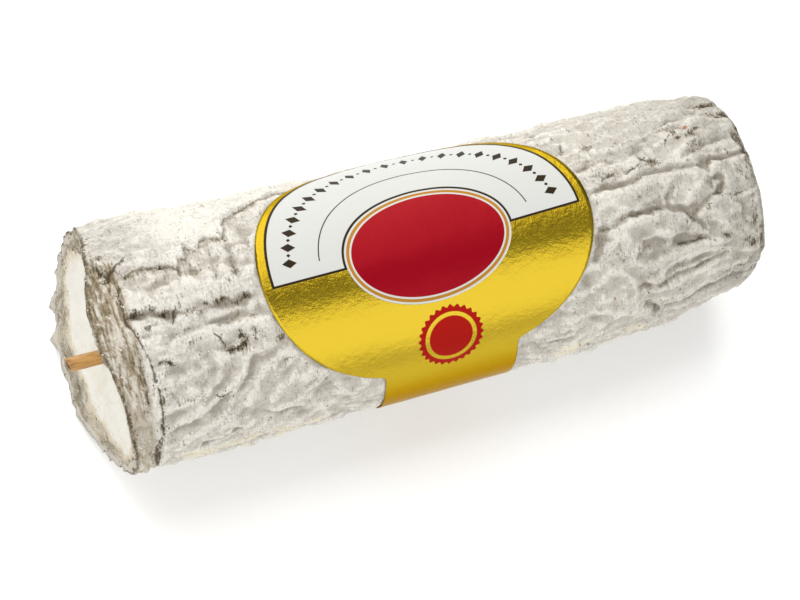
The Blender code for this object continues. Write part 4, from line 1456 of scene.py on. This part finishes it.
    def build(self, finish: bpy.types.Material) -> bpy.types.Object:
        """Builds the cheese.

        Args:
            finish: The rind's material.

        Returns:
            The piece, which replaces the plain solid.
        """
        skin, masks = self.skin()
        dish_x = self.form.left_rim_x + self.form.dish_depth
        crown_x = self.form.right_rim_x + self.form.small_end_crown
        left = self.face(skin[0], dish_x, self.form.dish_power, 0.35, self.face_rings)
        right = self.face(skin[-1], crown_x, 2.0, 0.25, self.small_face_rings)
        limit = CAD_BOX[1][0] / MM + ORIGIN[0] - 0.05
        for ring in right:
            ring[:, 0] = limit - self.relief.ease * np.logaddexp(0.0, (limit - ring[:, 0]) / self.relief.ease)
        rings = skin + right + left[::-1]
        points = np.concatenate(rings)
        piece = new_piece("cheese_log_rind", points, grid_faces(len(rings), len(skin[0]), True), finish)
        right_masks = self.face_masks(right, skin[-1], True)
        left_masks = self.face_masks(left[::-1], skin[0], False)
        skin_count = len(skin) * len(skin[0])
        for name in sorted(set(masks) | set(left_masks)):
            parts = [masks.get(name, np.zeros(skin_count)), right_masks.get(name, np.zeros(len(right) * len(skin[0]))),
                     left_masks.get(name, np.zeros(len(left) * len(skin[0])))]
            add_mask(piece, name, np.concatenate(parts))
        flat = points[:, 1:] - (self.form.straw_side, float(self.form.height(dish_x)))
        turn, out = np.arctan2(flat[:, 0], flat[:, 1]), np.linalg.norm(flat, axis=1)
        way = np.column_stack((out / 0.8, 6.0 * np.cos(turn), 6.0 * np.sin(turn)))
        layer = piece.data.attributes.new("rim_way", "FLOAT_VECTOR", "POINT")
        layer.data.foreach_set("vector", way.astype(np.float32).ravel())
        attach(piece, "root")
        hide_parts("cheese_log")
        return piece


@dataclass
class CrumbFinish:
    """Loose bits of mould: chalky ones, or olive-dark ones from the cracks."""

    name: str
    light: Colour
    dull: Colour

    def make(self) -> bpy.types.Material:
        """Builds the crumbs' material.

        Returns:
            The material.
        """
        graph = Graph(self.name)
        spot = graph.place()
        patch = graph.grain(spot, 1.3, 2.0)
        fine = graph.grain(spot, 0.25, 2.0, 0.6)
        colour = graph.mix((patch + (fine - 0.5) * 0.5).rise(0.35, 0.65), self.dull, self.light)
        return graph.finish({
            "Base Color": colour, "Roughness": 0.8 + fine * 0.15, "Normal": graph.bump(fine, 0.12, 0.8),
            "Specular IOR Level": 0.2,
        })


@dataclass
class CrumbScatter:
    """Crumbs strewn over the rind where one of its masks says so, made with geometry nodes."""

    name: str
    mask: str
    density: float
    smallest: float
    largest: float
    flatness: float
    seed: int
    lumps: float = 0.35

    def tree(self, finish: bpy.types.Material) -> tuple[bpy.types.NodeTree, dict[str, str]]:
        """Builds the scatter's node tree.

        Args:
            finish: The crumbs' material.

        Returns:
            The tree, and the identifiers of its named inputs.
        """
        tree = bpy.data.node_groups.new(self.name, "GeometryNodeTree")
        face = tree.interface
        face.new_socket("Geometry", in_out="INPUT", socket_type="NodeSocketGeometry")
        names = {}
        for label, kind in (("Density", "Float"), ("Smallest", "Float"), ("Largest", "Float"),
                            ("Flatness", "Float"), ("Lumps", "Float"), ("Seed", "Int")):
            names[label] = face.new_socket(label, in_out="INPUT", socket_type=f"NodeSocket{kind}").identifier
        face.new_socket("Geometry", in_out="OUTPUT", socket_type="NodeSocketGeometry")

        def add(kind: str, settings: dict | None = None, values: dict | None = None) -> bpy.types.Node:
            """Adds a node with its settings and the values or links of its sockets."""
            node = tree.nodes.new(kind)
            for key, value in (settings or {}).items():
                setattr(node, key, value)
            for key, value in (values or {}).items():
                if isinstance(value, bpy.types.NodeSocket):
                    tree.links.new(value, node.inputs[key])
                else:
                    node.inputs[key].default_value = value
            return node

        given = add("NodeGroupInput").outputs
        share = add("GeometryNodeInputNamedAttribute", {"data_type": "FLOAT"}, {"Name": self.mask})
        amount = add("ShaderNodeMath", {"operation": "MULTIPLY"}, {0: share.outputs["Attribute"], 1: given["Density"]})
        spread = add("GeometryNodeDistributePointsOnFaces", {"distribute_method": "RANDOM"}, {
            "Mesh": given["Geometry"], "Density": amount.outputs[0], "Seed": given["Seed"]})
        crumb = add("GeometryNodeMeshIcoSphere", None, {"Radius": 1.0, "Subdivisions": 1})
        width = add("FunctionNodeRandomValue", {"data_type": "FLOAT"}, {
            "Min": given["Smallest"], "Max": given["Largest"], "Seed": given["Seed"]})
        length = add("FunctionNodeRandomValue", {"data_type": "FLOAT"}, {
            "Min": given["Smallest"], "Max": given["Largest"], "Seed": 5})
        height = add("ShaderNodeMath", {"operation": "MULTIPLY"}, {0: width.outputs[1], 1: given["Flatness"]})
        size = add("ShaderNodeCombineXYZ", None, {0: width.outputs[1], 1: length.outputs[1], 2: height.outputs[0]})
        turn = add("FunctionNodeRandomValue", {"data_type": "FLOAT"}, {"Min": 0.0, "Max": 2.0 * math.pi, "Seed": 9})
        spin = add("ShaderNodeCombineXYZ", None, {2: turn.outputs[1]})
        laid = add("FunctionNodeRotateRotation", {"rotation_space": "LOCAL"}, {
            "Rotation": spread.outputs["Rotation"], "Rotate By": spin.outputs[0]})
        strewn = add("GeometryNodeInstanceOnPoints", None, {
            "Points": spread.outputs["Points"], "Instance": crumb.outputs["Mesh"], "Rotation": laid.outputs[0],
            "Scale": size.outputs[0]})
        real = add("GeometryNodeRealizeInstances", None, {"Geometry": strewn.outputs[0]})
        noise_at = add("ShaderNodeTexNoise", None, {"Scale": 900.0, "Detail": 1.0})
        offset = add("ShaderNodeVectorMath", {"operation": "SUBTRACT"}, {
            0: noise_at.outputs["Color"], 1: (0.5, 0.5, 0.5)})
        reach = add("ShaderNodeMath", {"operation": "MULTIPLY"}, {0: given["Lumps"], 1: given["Largest"]})
        push = add("ShaderNodeVectorMath", {"operation": "SCALE"}, {0: offset.outputs[0], "Scale": reach.outputs[0]})
        moved = add("GeometryNodeSetPosition", None, {"Geometry": real.outputs[0], "Offset": push.outputs[0]})
        smooth = add("GeometryNodeSetShadeSmooth", None, {"Geometry": moved.outputs[0]})
        dressed = add("GeometryNodeSetMaterial", None, {"Geometry": smooth.outputs[0], "Material": finish})
        add("NodeGroupOutput", None, {"Geometry": dressed.outputs[0]})
        return tree, names

    def build(self, rind: bpy.types.Object, finish: bpy.types.Material) -> bpy.types.Object:
        """Strews the crumbs and turns them into a plain mesh.

        Args:
            rind: The piece that they lie on.
            finish: Their material.

        Returns:
            The piece.
        """
        piece = bpy.data.objects.new(self.name, rind.data.copy())
        bpy.context.scene.collection.objects.link(piece)
        modifier = piece.modifiers.new("scatter", "NODES")
        modifier.node_group, names = self.tree(finish)
        values = {"Density": self.density / MM**2, "Smallest": self.smallest * MM, "Largest": self.largest * MM,
                  "Flatness": self.flatness, "Lumps": self.lumps, "Seed": self.seed}
        for label, value in values.items():
            modifier[names[label]] = value
        evaluated = piece.evaluated_get(bpy.context.evaluated_depsgraph_get())
        mesh = bpy.data.meshes.new_from_object(evaluated)
        mesh.name = self.name
        piece.modifiers.remove(modifier)
        piece.data = mesh
        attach(piece, "root")
        return piece


@dataclass
class Straw:
    """The hollow straw along the log's centre."""

    form: LogForm
    grain: GrainNoise
    left_x: float = -73.9
    right_x: float = 74.6
    bore_radius: float = 1.0
    slant: float = 0.45
    sectors: int = 40
    lengths: int = 90

    def build(self, finish: bpy.types.Material) -> bpy.types.Object:
        """Builds the straw.

        Args:
            finish: Its material.

        Returns:
            The piece, which replaces the plain solid.
        """
        turns = np.arange(self.sectors) * (2.0 * math.pi / self.sectors)
        shares = np.linspace(0.0, 1.0, self.lengths)
        rings, inside = [], []
        for radius, order in ((self.form.straw_radius, shares), (self.bore_radius, shares[::-1])):
            for share in order:
                x = self.left_x + (self.right_x - self.left_x) * share
                slant = -self.slant * np.sin(turns) * radius / self.form.straw_radius * (1.0 - share) ** 30
                spot = np.column_stack((np.full(self.sectors, x / 14.0), np.cos(turns), np.sin(turns)))
                dent = 0.045 * self.grain.layers(spot, 0.55, 2)
                wall = radius - 0.03 + (dent if radius > self.bore_radius else 0.0)
                y = self.form.straw_side + wall * np.sin(turns)
                z = self.form.height(x) + wall * np.cos(turns)
                rings.append(np.column_stack((x + slant, y, z)))
                inside.append(np.full(self.sectors, 1.0 if radius == self.bore_radius else 0.0))
        piece = new_piece("straw_tube", np.concatenate(rings), grid_faces(len(rings), self.sectors, True), finish)
        # The bore's inner wall, which the finish paints dark as shade.
        add_mask(piece, "inside", np.concatenate(inside))
        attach(piece, "root")
        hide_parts("straw")
        return piece


@dataclass
class FoilLabel:
    """The foil label: an oval with a tongue that goes down the front and under the log."""

    form: LogForm
    outline: LabelForm
    grain: GrainNoise
    lift: float = 0.36
    thickness: float = 0.16
    body_rows: int = 70
    tongue_rows: int = 34
    columns: int = 90
    back_turn: float = math.radians(5.0)
    front_turn: float = math.radians(154.0)

    def rows(self) -> list[float]:
        """Places round the log of the label's rows."""
        places = []
        for turn in np.linspace(self.back_turn, self.front_turn, self.body_rows):
            reach = -math.cos(turn)
            width = self.outline.half_width_back if reach < 0.0 else self.outline.half_width_front
            places.append(reach * width)
        places += list(np.linspace(places[-1], self.outline.tongue_end, self.tongue_rows + 1)[1:])
        return places

    def build(self, finish: bpy.types.Material) -> bpy.types.Object:
        """Builds the label.

        Args:
            finish: Its material.

        Returns:
            The piece, which replaces the plain solid.
        """
        rows = self.rows()
        across = np.linspace(-1.0, 1.0, self.columns)
        u = np.concatenate([self.outline.half_length_at(v) * across for v in rows])
        v = np.repeat(rows, self.columns)
        x, angle = self.outline.skin(u, v)
        radius = self.form.radius(x)
        flat = self.form.points(x, angle, radius)
        waves = 0.07 * self.grain.layers(flat, 9.0, 2)
        border = np.exp(-((self.outline.outside(x, angle) / 2.2) ** 2))
        crinkle = 0.05 * border * self.grain.layers(flat + 70.0, 1.8, 2)
        waves = np.clip(waves + crinkle, -0.08, 0.12)
        layers = [self.form.points(x, angle, radius + self.lift + waves + rise) for rise in (0.0, self.thickness)]
        total, columns = len(u), self.columns
        faces = []
        for k in range(len(rows) - 1):
            for s in range(columns - 1):
                a = k * columns + s
                b = a + columns
                faces.append((a, b, b + 1, a + 1))
                faces.append((total + a, total + a + 1, total + b + 1, total + b))
        last = (len(rows) - 1) * columns
        edge = list(range(columns)) + [k * columns + columns - 1 for k in range(1, len(rows))]
        edge += [last + s for s in range(columns - 2, -1, -1)] + [k * columns for k in range(len(rows) - 2, 0, -1)]
        faces += [(a, b, total + b, total + a) for a, b in zip(edge, edge[1:] + edge[:1])]
        piece = new_piece("label_foil", np.concatenate(layers), faces, finish)
        layout = piece.data.uv_layers.new(name="layout")
        spots = np.column_stack((np.tile(u, 2), np.tile(v, 2))) / LAYOUT_SIZE + 0.5
        corners = np.empty(len(piece.data.loops), dtype=np.int32)
        piece.data.loops.foreach_get("vertex_index", corners)
        layout.data.foreach_set("uv", spots[corners].astype(np.float32).ravel())
        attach(piece, "root")
        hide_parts("label")
        return piece


class Lamp(Enum):
    """The studio's soft panels.

    Each has a name, the radiance of its face, the angles from the top between which it stands
    round the log (positive toward the front), the places along the log where it starts and ends,
    its tint, and how far it is then swung round the upright axis, in degrees.
    """

    KEY = ("key", 3.4, (-90.0, -36.0), (-300.0, 320.0), (1.0, 0.99, 0.97), 0.0)
    TOP = ("top", 3.0, (-36.0, -8.0), (-450.0, 260.0), (1.0, 0.99, 0.975), 0.0)
    FILL = ("fill", 1.6, (22.0, 83.5), (-700.0, 600.0), (1.0, 0.995, 0.985), 0.0)
    END = ("end", 0.85, (35.0, 78.0), (-260.0, 260.0), (1.0, 0.995, 0.985), -78.0)


@dataclass
class Studio:
    """The pale floor, the soft lights and the camera."""

    focal_pixels: float = 2300.0
    image_width: float = 800.0
    sensor: float = 36.0
    distance: float = 480.0
    sideways: float = math.radians(14.66)
    roll: float = math.radians(14.65)
    forward: float = math.radians(14.0)
    target: tuple[float, float] = (2.09, -4.75)
    log_middle: tuple[float, float, float] = (-5.7, 0.0, 24.2)
    floor_half: float = 900.0
    panel_distance: float = 620.0
    room_light: float = 0.33

    def floor(self) -> None:
        """Lays the floor just under the log."""
        half = self.floor_half * MM
        mesh = bpy.data.meshes.new("floor")
        corners = [(-half, -half, 0.0), (half, -half, 0.0), (half, half, 0.0), (-half, half, 0.0)]
        mesh.from_pydata(corners, [], [(0, 1, 2, 3)])
        graph = Graph("floor_paper")
        grain = graph.grain(graph.place(), 3.0, 3.0)
        mesh.materials.append(graph.finish({
            "Base Color": graph.mix(grain, (0.93, 0.93, 0.925), (0.96, 0.96, 0.955)), "Roughness": 0.9,
        }))
        floor = bpy.data.objects.new("floor", mesh)
        bpy.context.scene.collection.objects.link(floor)

    def lights(self) -> None:
        """Hangs the soft panels and sets the even light of the room."""
        for lamp in Lamp:
            name, radiance, (first, last), (start, end), glow, swing = lamp.value
            middle, half = math.radians(0.5 * (first + last)), math.radians(0.5 * (last - first))
            data = bpy.data.lights.new(name, "AREA")
            data.shape = "RECTANGLE"
            data.size = (end - start) * MM
            data.size_y = 2.0 * self.panel_distance * math.tan(half) * MM
            data.energy = radiance * math.pi * data.size * data.size_y
            data.color = glow
            light = bpy.data.objects.new(name, data)
            spot = np.array((0.5 * (start + end), -self.panel_distance * math.sin(middle),
                             self.panel_distance * math.cos(middle) + self.log_middle[2]))
            hung = Matrix.Translation(Vector(spot * MM)) @ Matrix.Rotation(middle, 4, "X")
            light.matrix_world = Matrix.Rotation(math.radians(swing), 4, "Z") @ hung
            light.visible_camera = False
            bpy.context.scene.collection.objects.link(light)
        world = bpy.data.worlds.new("room")
        world.use_nodes = True
        back = world.node_tree.nodes["Background"]
        back.inputs["Color"].default_value = (0.97, 0.985, 1.0, 1.0)
        back.inputs["Strength"].default_value = self.room_light
        bpy.context.scene.world = world
        bpy.context.scene.view_settings.view_transform = "Standard"

    def camera(self) -> None:
        """Sets the camera where the photo was taken from."""
        out = np.array((-math.sin(self.sideways), 0.0, math.cos(self.sideways)))
        along = np.array((math.cos(self.sideways), 0.0, math.sin(self.sideways)))
        over = np.cross(out, along)
        cosine, sine = math.cos(self.roll), math.sin(self.roll)
        right, up = cosine * along - sine * over, sine * along + cosine * over
        tip = np.array((
            (1.0, 0.0, 0.0),
            (0.0, math.cos(self.forward), -math.sin(self.forward)),
            (0.0, math.sin(self.forward), math.cos(self.forward)),
        ))
        right, up, out = tip @ right, tip @ up, tip @ out
        spot = np.array(self.log_middle) + tip @ np.array((*self.target, 0.0)) + out * self.distance - ORIGIN
        data = bpy.data.cameras.new("camera")
        data.sensor_width = self.sensor
        data.lens = self.sensor * self.focal_pixels / self.image_width
        data.clip_start = 0.01
        eye = bpy.data.objects.new("camera", data)
        eye.matrix_world = Matrix((
            (right[0], up[0], out[0], spot[0] * MM), (right[1], up[1], out[1], spot[1] * MM),
            (right[2], up[2], out[2], spot[2] * MM), (0.0, 0.0, 0.0, 1.0),
        ))
        bpy.context.scene.collection.objects.link(eye)
        bpy.context.scene.camera = eye

    def build(self) -> None:
        """Builds the studio."""
        self.floor()
        self.lights()
        self.camera()


def report(piece: bpy.types.Object) -> None:
    """Logs a piece's size in triangles."""
    triangles = sum(len(face.vertices) - 2 for face in piece.data.polygons)
    LOG.info("%s: %d triangles", piece.name, triangles)


def main() -> None:
    """Builds the log's pieces and the studio."""
    logging.basicConfig(level=logging.INFO, format="%(name)s %(message)s")
    form, outline, grain = LogForm(), LabelForm(), GrainNoise(seed=23)
    relief = RindRelief(form, outline, grain)
    Studio().build()
    rind = CheeseBody(form, relief, grain).build(RindFinish().make())
    report(rind)
    chalk = CrumbFinish("mould_crumb", tint(230, 225, 214), tint(196, 189, 176)).make()
    report(CrumbScatter("mould_crumbs", "crumb", 0.9, 0.07, 0.24, 0.42, 4).build(rind, chalk))
    soot = CrumbFinish("dark_crumb", tint(128, 118, 92), tint(74, 66, 48)).make()
    report(CrumbScatter("dark_crumbs", "speck", 0.9, 0.07, 0.25, 0.55, 7).build(rind, soot))
    report(Straw(form, grain).build(StrawFinish().make()))
    report(FoilLabel(form, outline, grain).build(LabelFinish().make()))


if __name__ == "__main__":
    main()
